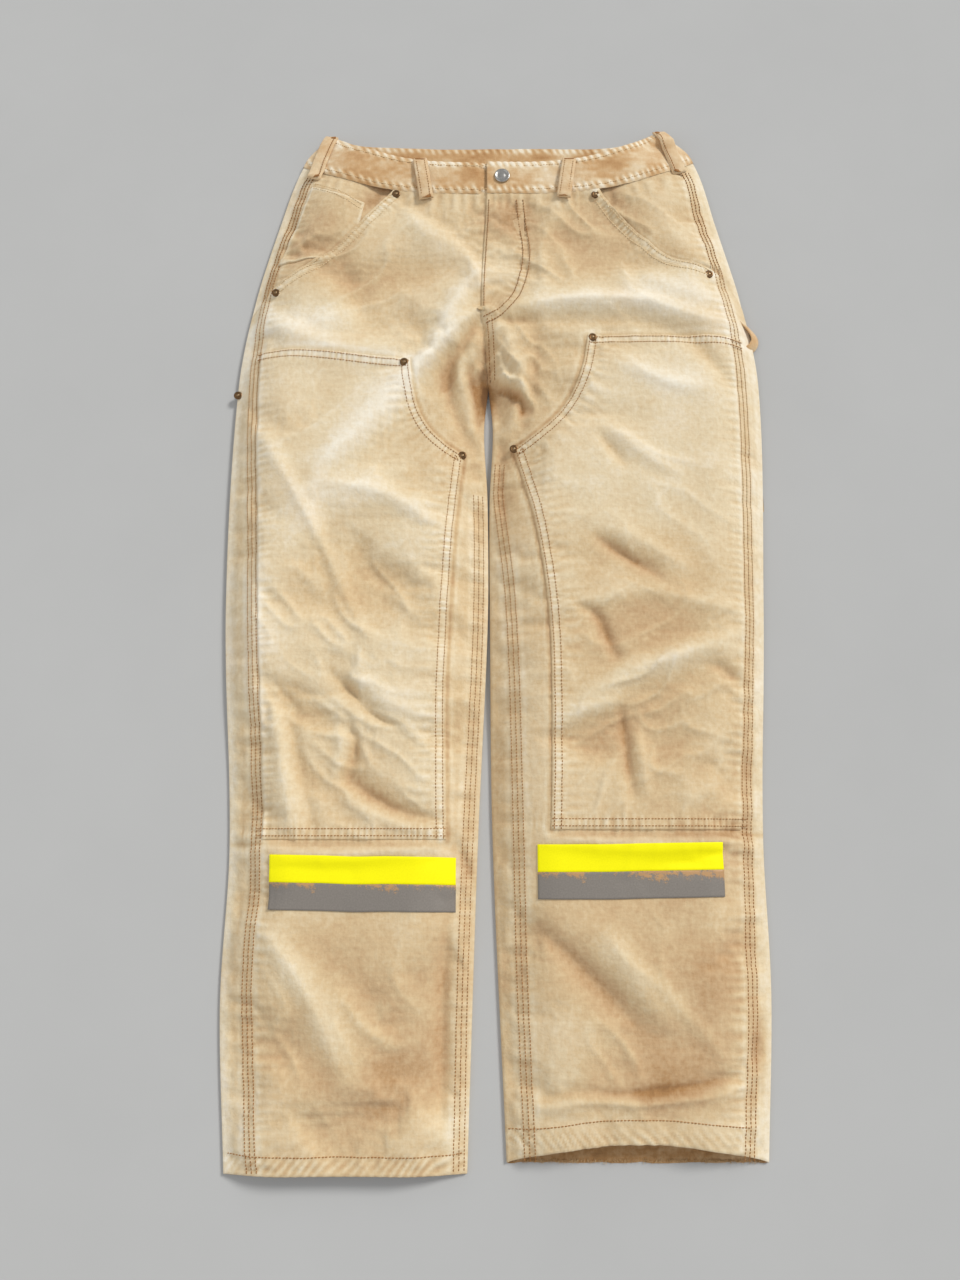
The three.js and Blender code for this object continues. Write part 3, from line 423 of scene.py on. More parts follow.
# %% Crumpled places
def crumple(x, y, rx, ry, turn, size, high, seed):
    """Small sharp creases over an elliptical place: the ridges where two value noises cross nought,
    (1 - |n|)^4, drawn out three to one along a direction."""
    c, s = np.cos(np.radians(turn)), np.sin(np.radians(turn))
    u, v = (GX - x) * c + (GY - y) * s, -(GX - x) * s + (GY - y) * c
    bend = 9 * noise(u, v, 40, seed + 1)
    ridge = (1 - np.abs(noise(u / 2.6, v + bend, size, seed))) ** 4
    inside = np.exp(-((((GX - x) / rx) ** 2 + ((GY - y) / ry) ** 2) ** 1.5))
    RELIEF[...] += high * (ridge - 0.3) * inside
    # the crease ridges are made paler and the ground between them darker: rubbed wear with painted highlight
    # and painted shade
    TONE[...] += 0.10 * (ridge - 0.3) * inside


for place in (
    (-140, -150, 95, 100, -30, 17, 2.8, 201),
    (-150, -30, 90, 70, -50, 20, 3.0, 202),
    (140, -90, 95, 100, 25, 19, 3.4, 203),
    (140, -200, 90, 50, 60, 18, 3.0, 204),
    (-30, 250, 60, 60, 50, 14, 4.2, 205),
    (20, 240, 40, 60, -60, 13, 4.0, 206),
    (-140, 360, 90, 80, 35, 22, 2.4, 207),
    (120, 380, 90, 90, -35, 22, 2.4, 208),
    (-130, -400, 90, 90, -55, 26, 2.2, 209),
    (140, -400, 90, 90, -50, 24, 2.4, 210),
    (140, 110, 100, 120, -30, 26, 2.0, 211),
    (-150, 130, 100, 100, 40, 26, 2.0, 212),
):
    crumple(*place)
print("relief range", round(RELIEF.min(), 1), round(RELIEF.max(), 1))

# %% [markdown]
# ## Seams
# A line of thread shrinks the cloth under it a little, so the cloth beside it stands in small ridges
# square to the seam. The ridges are rubbed pale by years of washing and are also given a painted
# highlight, and the furrows between them painted shade, like the rungs of a ladder. A seam here is its
# line on the plan; from it come the pucker and, later, the thread itself.

# %% Seam lines
def beside(leg, edge, inset, low, high, count=60):
    """Points of a line inside a leg's edge: the edge curve at even stations, moved inwards by inset."""
    s = np.linspace(low, high, count)
    sign = -leg["side"] if edge == "outer" else leg["side"]
    x = leg[edge](s) + sign * (inset(s) if callable(inset) else inset)
    return np.stack([x, y_of(leg, x, s)], 1)


def shifted(line, by):
    """A line of points moved sideways, to its left where by is positive."""
    line = np.array(line, float)
    run = np.gradient(line, axis=0)
    run /= np.linalg.norm(run, axis=1, keepdims=True)
    return line + by * np.stack([-run[:, 1], run[:, 0]], 1)


SIDE_SEAM = {
    "right": through([[0, 27], [142, 27], [300, 29], [525, 31], [745, 20], [880, 14], [1020, 14]]),
    "left": through([[9, 19], [150, 20], [300, 17], [525, 18], [745, 22], [900, 20], [1020, 15]]),
}
INSEAM_LINE = {
    "right": through([[0, 7], [150, 9], [300, 9], [525, 9], [640, 9]]),
    "left": through([[9, 20], [150, 21], [330, 24], [525, 20], [640, 8]]),
}
PATCH_EDGE = {
    "right": [[-51, -243], [-52, -180], [-53, -111], [-51, -50], [-49, 0], [-44, 80], [-36, 150]],
    "left": [[48, -234], [50, -180], [51, -111], [51, -50], [48, 0], [38, 72], [16, 157]],
}
PATCH_CURVE = {
    "right": [[-36, 150], [-52, 158], [-71, 174], [-84, 196], [-90, 222], [-93, 250]],
    "left": [[16, 157], [36, 168], [60, 188], [78, 214], [90, 244], [96, 281]],
}
PATCH_END = {
    "right": [[-256, 264], [-200, 262], [-150, 256], [-93, 250]],
    "left": [[262, 279], [200, 281], [150, 281], [96, 281]],
}
SEAMS = {}
for tag, leg in LEGS.items():
    side, hem = leg["side"], leg["hem"]
    SEAMS[tag, "side"] = beside(leg, "outer", SIDE_SEAM[tag], hem + 2, 1020)
    SEAMS[tag, "inseam"] = beside(leg, "inner", INSEAM_LINE[tag], hem + 2, 640 if tag == "right" else 676)
    SEAMS[tag, "patch"] = np.vstack([softened(PATCH_EDGE[tag])[:-1], softened(PATCH_CURVE[tag])])
    SEAMS[tag, "patch_end"] = softened(PATCH_END[tag])
    s = np.linspace(876 if tag == "right" else 898, BAND_SEAM - 2, 40)
    SEAMS[tag, "pocket"] = np.stack([SCOOP[tag](s), y_of(leg, SCOOP[tag](s), s)], 1)
print("seam lines", len(SEAMS))

# %% Pucker and thread furrows
for number, (tag, leg) in enumerate(LEGS.items()):
    side, seed = leg["side"], 20 * number
    pucker(shifted(SEAMS[tag, "side"], side * 7), 15, 0.75, 8.5, seed + 1, 0.12, only=side)
    pucker(SEAMS[tag, "side"], 7, 0.5, 5.4, seed + 2, 0.12)
    pucker(SEAMS[tag, "inseam"], 9, 0.5, 6.2, seed + 3, 0.10)
    pucker(shifted(SEAMS[tag, "patch"], -side * 7), 7, 0.75, 5.4, seed + 4, 0.22)
    pucker(shifted(SEAMS[tag, "patch"], -side * 14), 17, 0.7, 9.5, seed + 5, 0.1, only=-side)
    pucker(shifted(SEAMS[tag, "patch_end"], side * 6), 6, 0.7, 6.0, seed + 6, 0.18)
    pucker(shifted(SEAMS[tag, "pocket"], side * 6), 6.5, 0.8, 5.4, seed + 7, 0.24)
    x = leg["inner"](leg["fold"]) + side * np.linspace(30, 225, 20)
    bottom = np.stack([x, np.full(20, leg["fold"] + 12.0 - HALF)], 1)
    pucker(bottom, 7, 0.8, 6.4, seed + 8, 0.22)
    hem_x = leg["inner"](leg["hem"]) + side * np.linspace(4, 214, 30)
    roping = np.stack([hem_x, np.full(30, leg["hem"] + (9.0 if tag == "right" else 22.0) - HALF)], 1)
    pucker(roping, 9, 1.0, 9.0, seed + 9, 0.22, slant=side * 0.9)
fly = [[26, 448], [28, 400], [25, 350], [8, 318], [-12, 302]]
pucker(fly, 8, 0.7, 6.0, 77, 0.18)
pucker([[-10, 446], [-15, 370], [-15, 300]], 9, 0.5, 13.0, 79, 0.1, slant=0.5)
pucker([[-200, 470], [-120, 452], [-20, 446], [60, 446], [140, 458], [205, 474]], 13, 0.5, 13.0, 81, 0.08)
print("relief after the seams", round(RELIEF.min(), 1), round(RELIEF.max(), 1))

# %% [markdown]
# ## Where the colour has gone
# Brown duck fades with wear: nearly white over the thighs, orange where it is new, grey-brown where
# hands and knees have been, and soaked brown at the hems. The tops of the folds are pale from wear and
# from painted highlight, and valleys, the crotch and the edges of the knee piece get painted shade. The
# net of tone holds all this from 0, dark, to 1, bleached; the cloth's material turns it into colour.

# %% Stains and bleached places
TONE += 0.60
turned_x, turned_y = 0.8 * GX + 0.6 * GY, 0.8 * GY - 0.6 * GX
TONE += 0.04 * noise(turned_x, turned_y, 75, 5) + 0.04 * noise(turned_y, turned_x, 34, 6)
TONE += 0.02 * noise(turned_x, turned_y * 1.8, 12, 7)
for place in (
    (-150, -448, 78, 34, -0.20),
    (-105, -472, 44, 22, -0.08),
    (-170, -395, 40, 20, -0.10),
    (-120, -350, 60, 25, -0.06),
    (148, -448, 56, 30, -0.26, 8),
    (236, -430, 8, 30, -0.35),
    (160, -40, 95, 100, -0.24),
    (140, -280, 120, 170, -0.17),
    (-140, -190, 110, 110, -0.05),
    (-140, -350, 120, 110, -0.10),
    (200, -380, 30, 40, -0.12),
    (150, -470, 90, 12, -0.12),
    (-140, 360, 60, 60, -0.08),
    (80, 400, 60, 46, -0.09),
    (-206, 400, 40, 50, -0.12),
    # painted shade: a darker patch over the hollow of the crotch
    (-10, 250, 34, 46, -0.10),
    (12, 425, 24, 26, -0.26),
    (6, 375, 17, 28, 0.18),
    (0, 320, 22, 20, -0.10),
    (-215, 300, 46, 22, 0.16),
    (170, 330, 70, 24, 0.10),
    (-150, 215, 70, 34, 0.05),
    (-118, 60, 40, 30, -0.05),
    (-86, -20, 34, 40, -0.08),
    (-196, 120, 10, 12, -0.14),
    (-236, -60, 34, 80, 0.06),
    (-40, -480, 24, 20, 0.12),
    (-225, -470, 20, 60, 0.10),
    (120, -360, 90, 60, -0.06),
    (180, 200, 60, 40, 0.04),
    (80, 130, 40, 40, -0.03),
    (34, -90, 14, 60, 0.04),
    (212, -135, 14, 60, 0.05),
):
    patch_of(*place)
for tag, leg in LEGS.items():
    line = beside(leg, "outer", 2, leg["hem"], 860)
    away, _, _ = near(line[::3], GX, GY)
    TONE += 0.26 * np.exp(-((away / 8) ** 2))
    # beside each seam a pale line and on it a slight darkening: painted highlight on the raised edges and
    # painted shade in the groove, with rubbed wear
    for part, wide in (("side", 8.5), ("inseam", 8.5), ("patch", 5.0), ("patch_end", 5.0), ("pocket", 5.0)):
        away, _, _ = near(SEAMS[tag, part][::2], GX, GY)
        TONE += 0.12 * np.exp(-(((np.abs(away) - wide) / 2.6) ** 2)) - 0.03 * np.exp(-((away / 4) ** 2))
    # painted shadow: a dark line just outside the knee piece's edge, where its step casts shade
    away, _, _ = near(SEAMS[tag, "patch"], GX, GY)
    TONE -= 0.20 * np.exp(-(((leg["side"] * away - 2.4) / 1.9) ** 2))
    # painted shade: a dark line under the bottom of the knee piece, over a shallow valley in the relief
    line = np.array(SEAMS[tag, "patch"])[0] + np.array([[0, -5.0], [-leg["side"] * -205, -5.0]])
    away, _, _ = near(line, GX, GY)
    TONE -= 0.16 * np.exp(-((away / 2.2) ** 2))
    RELIEF -= 1.8 * np.exp(-(((away - 1) / 4) ** 2))
print("tone", round(TONE.min(), 2), round(TONE.max(), 2))

# %% [markdown]
# ## Folds from a cloth simulation
# Strokes give the folds that matter, but between them real canvas buckles everywhere a little. Each front
# is therefore also run through Blender's cloth solver on a coarse net: its edges are held, the cloth is
# let out by a few per cent, and it buckles into creases of its own. What it moved is capped and laid over
# the relief, so that every piece above it follows.

# %% Let each front buckle
def let_out(leg, rows=118, columns=36, frames=24, share=0.035, cap=5.0):
    """Runs a coarse front whose rest size is a few per cent too large, and returns how far each point
    rose, on an even grid of (station, place across)."""
    v, u = np.linspace(0, 1, rows)[:, None], np.linspace(0.004, 0.996, columns)[None, :]
    s = leg["hem"] + 4 + v * (BAND_SEAM - leg["hem"] - 6) + 0 * u
    x = leg["inner"](s) + (leg["outer"](s) - leg["inner"](s)) * u
    y = y_of(leg, x, s)
    z = rise(leg, x, s) + 0.8 * read(RELIEF, x, y) * ease(0, 25, np.minimum(u, 1 - u) * 260)
    z = z + 0.35 * noise(x, y, 16, 31)
    points = np.stack([x, y, z], -1).reshape(-1, 3) * 0.001
    index = np.arange(rows * columns).reshape(rows, columns)
    quads = np.stack([index[:-1, :-1], index[:-1, 1:], index[1:, 1:], index[1:, :-1]], -1).reshape(-1, 4)
    mesh = bpy.data.meshes.new("let_out")
    mesh.from_pydata(points.tolist(), [], quads.tolist())
    obj = bpy.data.objects.new("let_out", mesh)
    bpy.context.scene.collection.objects.link(obj)
    held = obj.vertex_groups.new(name="held")
    rim = np.zeros((rows, columns), bool)
    rim[[0, -1], :] = rim[:, [0, -1]] = True
    held.add(index[rim].tolist(), 1.0, "REPLACE")
    cloth = obj.modifiers.new("cloth", "CLOTH")
    cloth.settings.quality = 6
    cloth.settings.mass = 0.4
    cloth.settings.tension_stiffness = cloth.settings.compression_stiffness = 12
    cloth.settings.shear_stiffness = 6
    cloth.settings.bending_stiffness = 0.6
    cloth.settings.vertex_group_mass = "held"
    cloth.settings.shrink_min = -share
    cloth.settings.effector_weights.gravity = 0
    cloth.settings.air_damping = 4
    scene = bpy.context.scene
    start = scene.frame_current
    cloth.point_cache.frame_start, cloth.point_cache.frame_end = 1, frames
    for frame_number in range(1, frames + 1):
        scene.frame_set(frame_number)
    solved = obj.evaluated_get(bpy.context.evaluated_depsgraph_get()).data
    after = np.empty(rows * columns * 3)
    solved.vertices.foreach_get("co", after)
    lift = after.reshape(rows, columns, 3)[..., 2] * 1000 - z
    bpy.data.objects.remove(obj)
    bpy.data.meshes.remove(mesh)
    scene.frame_set(start)
    return cap * np.tanh(lift / cap)


def lay_over(leg, lift):
    """Adds a simulated lift to the relief net, read at each crossing's station and place across."""
    s = station(leg, GX, GY)
    v = (s - leg["hem"] - 4) / (BAND_SEAM - leg["hem"] - 6)
    u = (GX - leg["inner"](s)) / (leg["outer"](s) - leg["inner"](s))
    inside = (u > 0) & (u < 1) & (v > 0) & (v < 1)
    rows, columns = lift.shape
    j, i = np.clip(v, 0, 1) * (rows - 1.001), np.clip(u, 0, 1) * (columns - 1.001)
    a, b = j.astype(int), i.astype(int)
    p, q = j - a, i - b
    p, q = p * p * (3 - 2 * p), q * q * (3 - 2 * q)
    value = (lift[a, b] * (1 - q) + lift[a, b + 1] * q) * (1 - p)
    value = value + (lift[a + 1, b] * (1 - q) + lift[a + 1, b + 1] * q) * p
    return np.where(inside, value, 0.0)


for tag, leg in LEGS.items():
    lift = let_out(leg)
    print(tag, "front buckled by", round(float(lift.min()), 2), "to", round(float(lift.max()), 2), "mm")
    laid = lay_over(leg, lift)
    RELIEF += laid
    # raised cloth is made a little paler: rubbed wear and painted highlight
    TONE += 0.016 * laid

# %% [markdown]
# ## Putting a surface into a mesh
# Every piece is a grid of points worked out as arrays, so one function writes them all. Each point also
# keeps its place on the cloth, in millimetres, and its tone, for the material to read: the pattern then
# stays with the cloth when a leg folds.

# %% Mesh helpers
def add_mesh(name, points, faces, tone=None, place=None):
    """Writes points (millimetres, pattern frame) and faces of equal size into a mesh object."""
    points = np.asarray(points, float).reshape(-1, 3)
    faces = np.asarray(faces)
    mesh = bpy.data.meshes.new(name)
    moved = (points + [SHIFT, 0, 0]) * 0.001
    mesh.vertices.add(len(points))
    mesh.vertices.foreach_set("co", moved.ravel().astype(np.float32))
    mesh.loops.add(faces.size)
    mesh.loops.foreach_set("vertex_index", faces.ravel().astype(np.int32))
    mesh.polygons.add(len(faces))
    mesh.polygons.foreach_set("loop_start", np.arange(0, faces.size, faces.shape[1], dtype=np.int32))
    mesh.update(calc_edges=True)
    mesh.shade_smooth()
    lay = mesh.attributes.new("lay", "FLOAT_VECTOR", "POINT")
    lay.data.foreach_set("vector", (points if place is None else place).ravel().astype(np.float32))
    # the tone attribute holds wear together with painted highlight and painted shade
    worn = mesh.attributes.new("tone", "FLOAT", "POINT")
    value = np.zeros(len(points)) + (0.5 if tone is None else np.ravel(tone))
    worn.data.foreach_set("value", value.astype(np.float32))
    obj = bpy.data.objects.new(name, mesh)
    bpy.context.scene.collection.objects.link(obj)
    return obj


def grid_faces(rows, columns, flip=False):
    """Quads of a grid, wound so that they look up, or down where flip is set."""
    index = np.arange(rows * columns).reshape(rows, columns)
    corners = [index[:-1, :-1], index[:-1, 1:], index[1:, 1:], index[1:, :-1]]
    return np.stack(corners[::-1] if flip else corners, -1).reshape(-1, 4)


def add_sheet(name, X, Y, Z, tone=None, place=None):
    """A grid of cloth. It is wound to look up whichever way its rows and columns run."""
    j, i = X.shape[0] // 2, X.shape[1] // 2
    along_x, along_y = X[j, i + 1] - X[j, i], Y[j, i + 1] - Y[j, i]
    up_x, up_y = X[j + 1, i] - X[j, i], Y[j + 1, i] - Y[j, i]
    turn = along_x * up_y - along_y * up_x
    faces = grid_faces(*X.shape, flip=turn < 0)
    place = None if place is None else place.reshape(-1, 3)
    return add_mesh(name, np.stack([X, Y, Z], -1), faces, tone, place)


def hemmed(X, Y, Z, drop=1.1, out=0.5):
    """Adds a ring round a grid that rolls over its edge: out and down, as a turned edge does."""
    grids = np.stack([X, Y, Z])
    for axis in (1, 2):
        g = np.moveaxis(grids, axis, 1)
        first, last = g[:, 0] - g[:, 1], g[:, -1] - g[:, -2]
        first /= np.linalg.norm(first, axis=0) + 1e-9
        last /= np.linalg.norm(last, axis=0) + 1e-9
        down = np.array([0, 0, 1.0])[:, None]
        a2, a1 = g[:, 0] + out * first - drop * down, g[:, 0] + 0.8 * out * first - 0.35 * drop * down
        b1, b2 = g[:, -1] + 0.8 * out * last - 0.35 * drop * down, g[:, -1] + out * last - drop * down
        g = np.concatenate([a2[:, None], a1[:, None], g, b1[:, None], b2[:, None]], 1)
        grids = np.moveaxis(g, 1, axis)
    return grids


def height(leg, x, y):
    """The top of the front cloth at a point on the plan: the broad surface and the relief, which dies
    out at the very edges, held above the back by the soft maximum b + ln(1 + e^(z - b))."""
    s = station(leg, x, y)
    edge = ease(0, 14, np.abs(leg["outer"](s) - x))
    open_side = ease(0, 10, np.abs(leg["inner"](s) - x)) + ease(INSEAM - 70, INSEAM - 10, s)
    least = back_top(s) + 1.0
    free = rise(leg, x, s) + read(RELIEF, x, y) * edge * np.clip(open_side, 0, 1)
    return least + np.logaddexp(0, free - least)


def blend_fold(obj):
    """Bakes the piece's placement into its mesh; it does not bend it."""
    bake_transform(obj)
    return obj


print("helpers ready")

# %% [markdown]
# ## The front of each leg
# One length of canvas from hem to waist, scooped away at the pocket. It is a grid: rows at even stations,
# columns from inseam to outseam. Beyond the outseam four more columns roll round to the back, and before
# the hem four rows turn under, so the cloth has a real folded edge and not a cut one.

# %% Front cloth
def front_limit(leg, s):
    """The outer end of the front at a station: the outseam, or the pocket's scooped edge above it."""
    scoop = SCOOP[leg["tag"]](s)
    start = 846 if leg["tag"] == "right" else 872
    mixed = leg["outer"](s) + (scoop - leg["outer"](s)) * ease(start - 14, start + 8, s)
    mixed = leg["side"] * np.minimum(leg["side"] * mixed, leg["side"] * leg["outer"](s))
    return np.where(s < start - 14, leg["outer"](s), mixed)


def hem_arch(leg, u):
    """How far the front hem is drawn up from the back hem: little on the right leg, 20 mm on the left."""
    share = 2.0 if leg["tag"] == "right" else 19.0
    return share * np.sin(np.pi * np.clip(u, 0, 1)) ** 0.8


def front_grid(leg, rows=500, columns=112):
    """The front's points and tone: stations rise evenly from the hem, and places run across each."""
    side = leg["side"]
    u = np.linspace(0, 1, columns)[None, :]
    u = u - 0.02 * np.sin(2 * np.pi * u) / np.pi
    v = np.linspace(0, 1, rows)[:, None]
    low = leg["hem"] + hem_arch(leg, u)
    s = low + (BAND_SEAM + 4 - low) * v
    lap = 1.5 * ease(828, 838, s) if side > 0 else 5.0 * ease(800, 830, s)
    inner = leg["inner"](s) - side * lap
    x = inner + (front_limit(leg, s) - inner) * u
    y = y_of(leg, x, s)
    z = height(leg, x, y)
    over = ease(822, 842, s) * np.exp(-((np.abs(x - CENTRE) / 36) ** 4))
    z = z + (0.9 if side > 0 else -0.2 - 0.6 * ease(CENTRE - 22, CENTRE - 2, x)) * over
    tone = read(TONE, x, y)
    return x, y, z, s, tone


def rolled_front(leg):
    """The front grid with its outer edge rolled to the back, its inner edge turned down, and its hem
    and pocket edges turned under."""
    side = leg["side"]
    x, y, z, s, tone = front_grid(leg)
    low = back_top(s) - 1.3
    pocket = ease(0.3, 5, np.abs(leg["outer"](s[:, -1:]) - front_limit(leg, s[:, -1:])))
    outs, falls = [0.5, 0.9, 0.7, -1.2], [0.12, 0.45, 0.85, 1.0]
    xs, zs = [x], [z]
    drop = (z - low)[:, -1:] * (1 - pocket) + 1.3 * pocket
    for out, fall in zip(outs, falls):
        xs.append(x[:, -1:] + side * out)
        zs.append(z[:, -1:] - fall * drop)
    joined = ease(INSEAM - 20, INSEAM + 10, s[:, :1])
    drop = (z - low)[:, :1] * (1 - joined) + 1.2 * joined
    xs.insert(0, x[:, :1] - side * 0.7 * (1 - 0.6 * joined))
    zs.insert(0, z[:, :1] - 0.5 * drop)
    xs.insert(0, x[:, :1] - side * 0.3 * (1 - joined))
    zs.insert(0, z[:, :1] - drop)
    X, Z = np.hstack(xs), np.hstack(zs)
    Y = np.hstack([y[:, :1]] * 2 + [y] + [y[:, -1:]] * 4)
    T = np.hstack([tone[:, :1]] * 2 + [tone] + [tone[:, -1:]] * 4)
    turned_y, turned_z = [13.0, 5.0, 0.3, -0.7], [-2.6, -2.6, -2.2, -1.0]
    head_z = [np.maximum(Z[:1] + dz, 0.12) for dz in turned_z]
    head_y = [Y[:1] + dy for dy in turned_y]
    X, Y = np.vstack([X[:1]] * 4 + [X]), np.vstack(head_y + [Y])
    Z, T = np.vstack(head_z + [Z]), np.vstack([T[:1] - 0.15] * 4 + [T])
    return X, Y, Z, T


def flat_area(leg, edge):
    """The cut's flat area in square metres: the width at each station, summed up the leg."""
    s = np.linspace(leg["hem"], BAND_SEAM, 400)
    return float(np.abs(edge(leg, s) - leg["inner"](s)).mean() * (BAND_SEAM - leg["hem"]) * 1e-6)


FRONTS = {}
for tag, leg in LEGS.items():
    X, Y, Z, T = rolled_front(leg)
    front = add_sheet(f"{tag}_front_cloth", X, Y, Z, T)
    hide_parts(f"{tag}_front_thigh", f"{tag}_front_shin")
    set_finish(front, "canvas")
    blend_fold(front)
    size = (0.292, (BAND_SEAM - leg["hem"]) / 1000)
    flat_area(leg, front_limit)
    FRONTS[tag] = front
    print(front.name, len(front.data.polygons), "faces, flat area", round(flat_area(leg, front_limit), 4))

# %% [markdown]
# ## The back of each leg
# The back lies on the floor under the front. Only its edges, its hem and the inside of its waist show from
# above, so its grid is coarser. Its hem is rubbed open to a brown, frayed edge.

# %% Back cloth
for number, (tag, leg) in enumerate(LEGS.items()):
    side = leg["side"]
    v, u = np.linspace(0, 1, 300)[:, None], np.linspace(0, 1, 64)[None, :]
    s = leg["hem"] - 1 + v * (BAND_SEAM + 3 - leg["hem"]) + 0 * u
    x = leg["inner"](s) + side * 0.3 + (leg["outer"](s) - leg["inner"](s) - side * 1.0) * u
    y = s - HALF + 0.8 * noise(x, 0 * x, 9, 61 + number) * (1 - ease(0, 0.02, v))
    z = back_top(s) - 0.9 + 0.25 * noise(x, y, 22, 63 + number)
    T = 0.46 + 0.1 * noise(x, y, 30, 65) - 0.24 * (1 - ease(0, 0.05, v)) + 0.06 * noise(x, y * 3, 6, 66)
    back = add_sheet(f"{tag}_back_cloth", x, y, np.maximum(z, 0.15), T)
    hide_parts(f"{tag}_back_thigh", f"{tag}_back_shin")
    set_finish(back, "canvas")
    blend_fold(back)
    size = (0.292, (BAND_SEAM + 4 - leg["hem"]) / 1000)
    flat_area(leg, lambda l, s: l["outer"](s))
print("backs made")

# %% [markdown]
# ## The double knee
# A second layer from the hip to below the knee, caught in the side seam and stitched twice round its free
# edges. Its grid is ruled between the side seam and the free edge, so its rows fan where the edge curves.
# The edge is turned under, which makes the small step that catches the light.

# %% Knee pieces
PATCH_TOP = 1.4


def patch_grid(leg, rows=250, columns=92):
    tag, side = leg["tag"], leg["side"]
    edge = np.array(SEAMS[tag, "patch"])
    run = np.concatenate([[0], np.cumsum(np.linalg.norm(np.diff(edge, axis=0), axis=1))])
    v = np.linspace(0, 1, rows)
    inner = np.stack([np.interp(v * run[-1], run, edge[:, k]) for k in (0, 1)], 1)
    end = PATCH_END[tag][0]
    outer_y = inner[0, 1] + (end[1] - inner[0, 1]) * v**1.02
    inset = SIDE_SEAM[tag](outer_y + HALF) + 7
    outer_x = leg["outer"](station(leg, 0 * v + end[0], outer_y)) - side * inset
    u = np.linspace(0, 1, columns)[None, :]
    x = inner[:, :1] + (outer_x[:, None] - inner[:, :1]) * u
    y = inner[:, 1:] + (outer_y[:, None] - inner[:, 1:]) * u
    z = height(leg, x, y) + PATCH_TOP
    return x, y, z


for tag, leg in LEGS.items():
    x, y, z = patch_grid(leg)
    X, Y, Z = hemmed(x, y, z, drop=1.5, out=0.5)
    patch = add_sheet(f"{tag}_knee_piece", X, Y, Z, read(TONE, X, Y) + 0.05)
    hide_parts(f"{tag}_knee_patch")
    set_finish(patch, "knee_patch")
    blend_fold(patch)

# %% [markdown]
# ## Reflective tape
# Two strips a side, a fluorescent lime one over a grey retroreflective one, pressed on with heat. They are
# thin and stiff, so they follow the big folds but bridge the small ones: the grid is coarse on purpose.

# %% Tape strips
def add_tape(tag, colour, upper):
    """One strip: a grid across the shin at the strip's stations, a little above the smoothed cloth."""
    leg, side = LEGS[tag], LEGS[tag]["side"]
    low, high = [p.y * 1000 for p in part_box(f"{tag}_{colour}_tape")]
    left, right = [p.x * 1000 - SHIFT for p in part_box(f"{tag}_{colour}_tape")]
    x = np.linspace(left, right, 90)[None, :] + np.zeros((14, 1))
    y = np.linspace(low - (0.3 if upper else -0.2), high, 14)[:, None] + 0 * x
    y = y + 0.5 * noise(x, 0 * x, 34, 71) + 0.014 * side * (x - left)
    near_by = [height(leg, x, y + d) for d in (-6, -3, 0, 3, 6)]
    z = 0.5 * (np.mean(near_by, 0) + np.max(near_by, 0)) + (1.1 if upper else 0.95)
    X, Y, Z = hemmed(x, y, z, drop=0.7, out=0.1)
    place = np.stack([X - left, Y - low, 0 * Z], -1)
    strip = add_sheet(f"{tag}_{colour}_strip", X, Y, Z, read(TONE, X, Y), place)
    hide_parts(f"{tag}_{colour}_tape")
    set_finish(strip, f"{colour}_tape")
    blend_fold(strip)
    return strip


TAPES = [add_tape(tag, colour, colour == "lime") for tag in LEGS for colour in ("lime", "silver")]
print("tape strips", len(TAPES))

# %% [markdown]
# ## Front pockets
# The scooped edge of the front gapes over a facing of the same canvas, which runs to the side seam; the
# right one carries a coin pocket. The lining bag behind it hangs from the band, out of sight.

# %% Facings, coin pocket and bags
def facing_drop(leg, x, y):
    """How far the facing lies under the front's surface: 3.4 mm at the pocket's mouth, less towards the
    outseam, and a little more where the mouth gapes by the band."""
    s = station(leg, x, y)
    side, mouth = leg["side"], SCOOP[leg["tag"]](s)
    sunk = 3.4 * (1 - ease(0, 40, side * (x - mouth))) * ease(4, 20, np.abs(leg["outer"](s) - x))
    gape = np.exp(-(((x - mouth - side * 10) / 17) ** 2) - ((s - BAND_SEAM + 14) / 22) ** 2)
    return sunk + (2.6 if side < 0 else 0.4) * gape


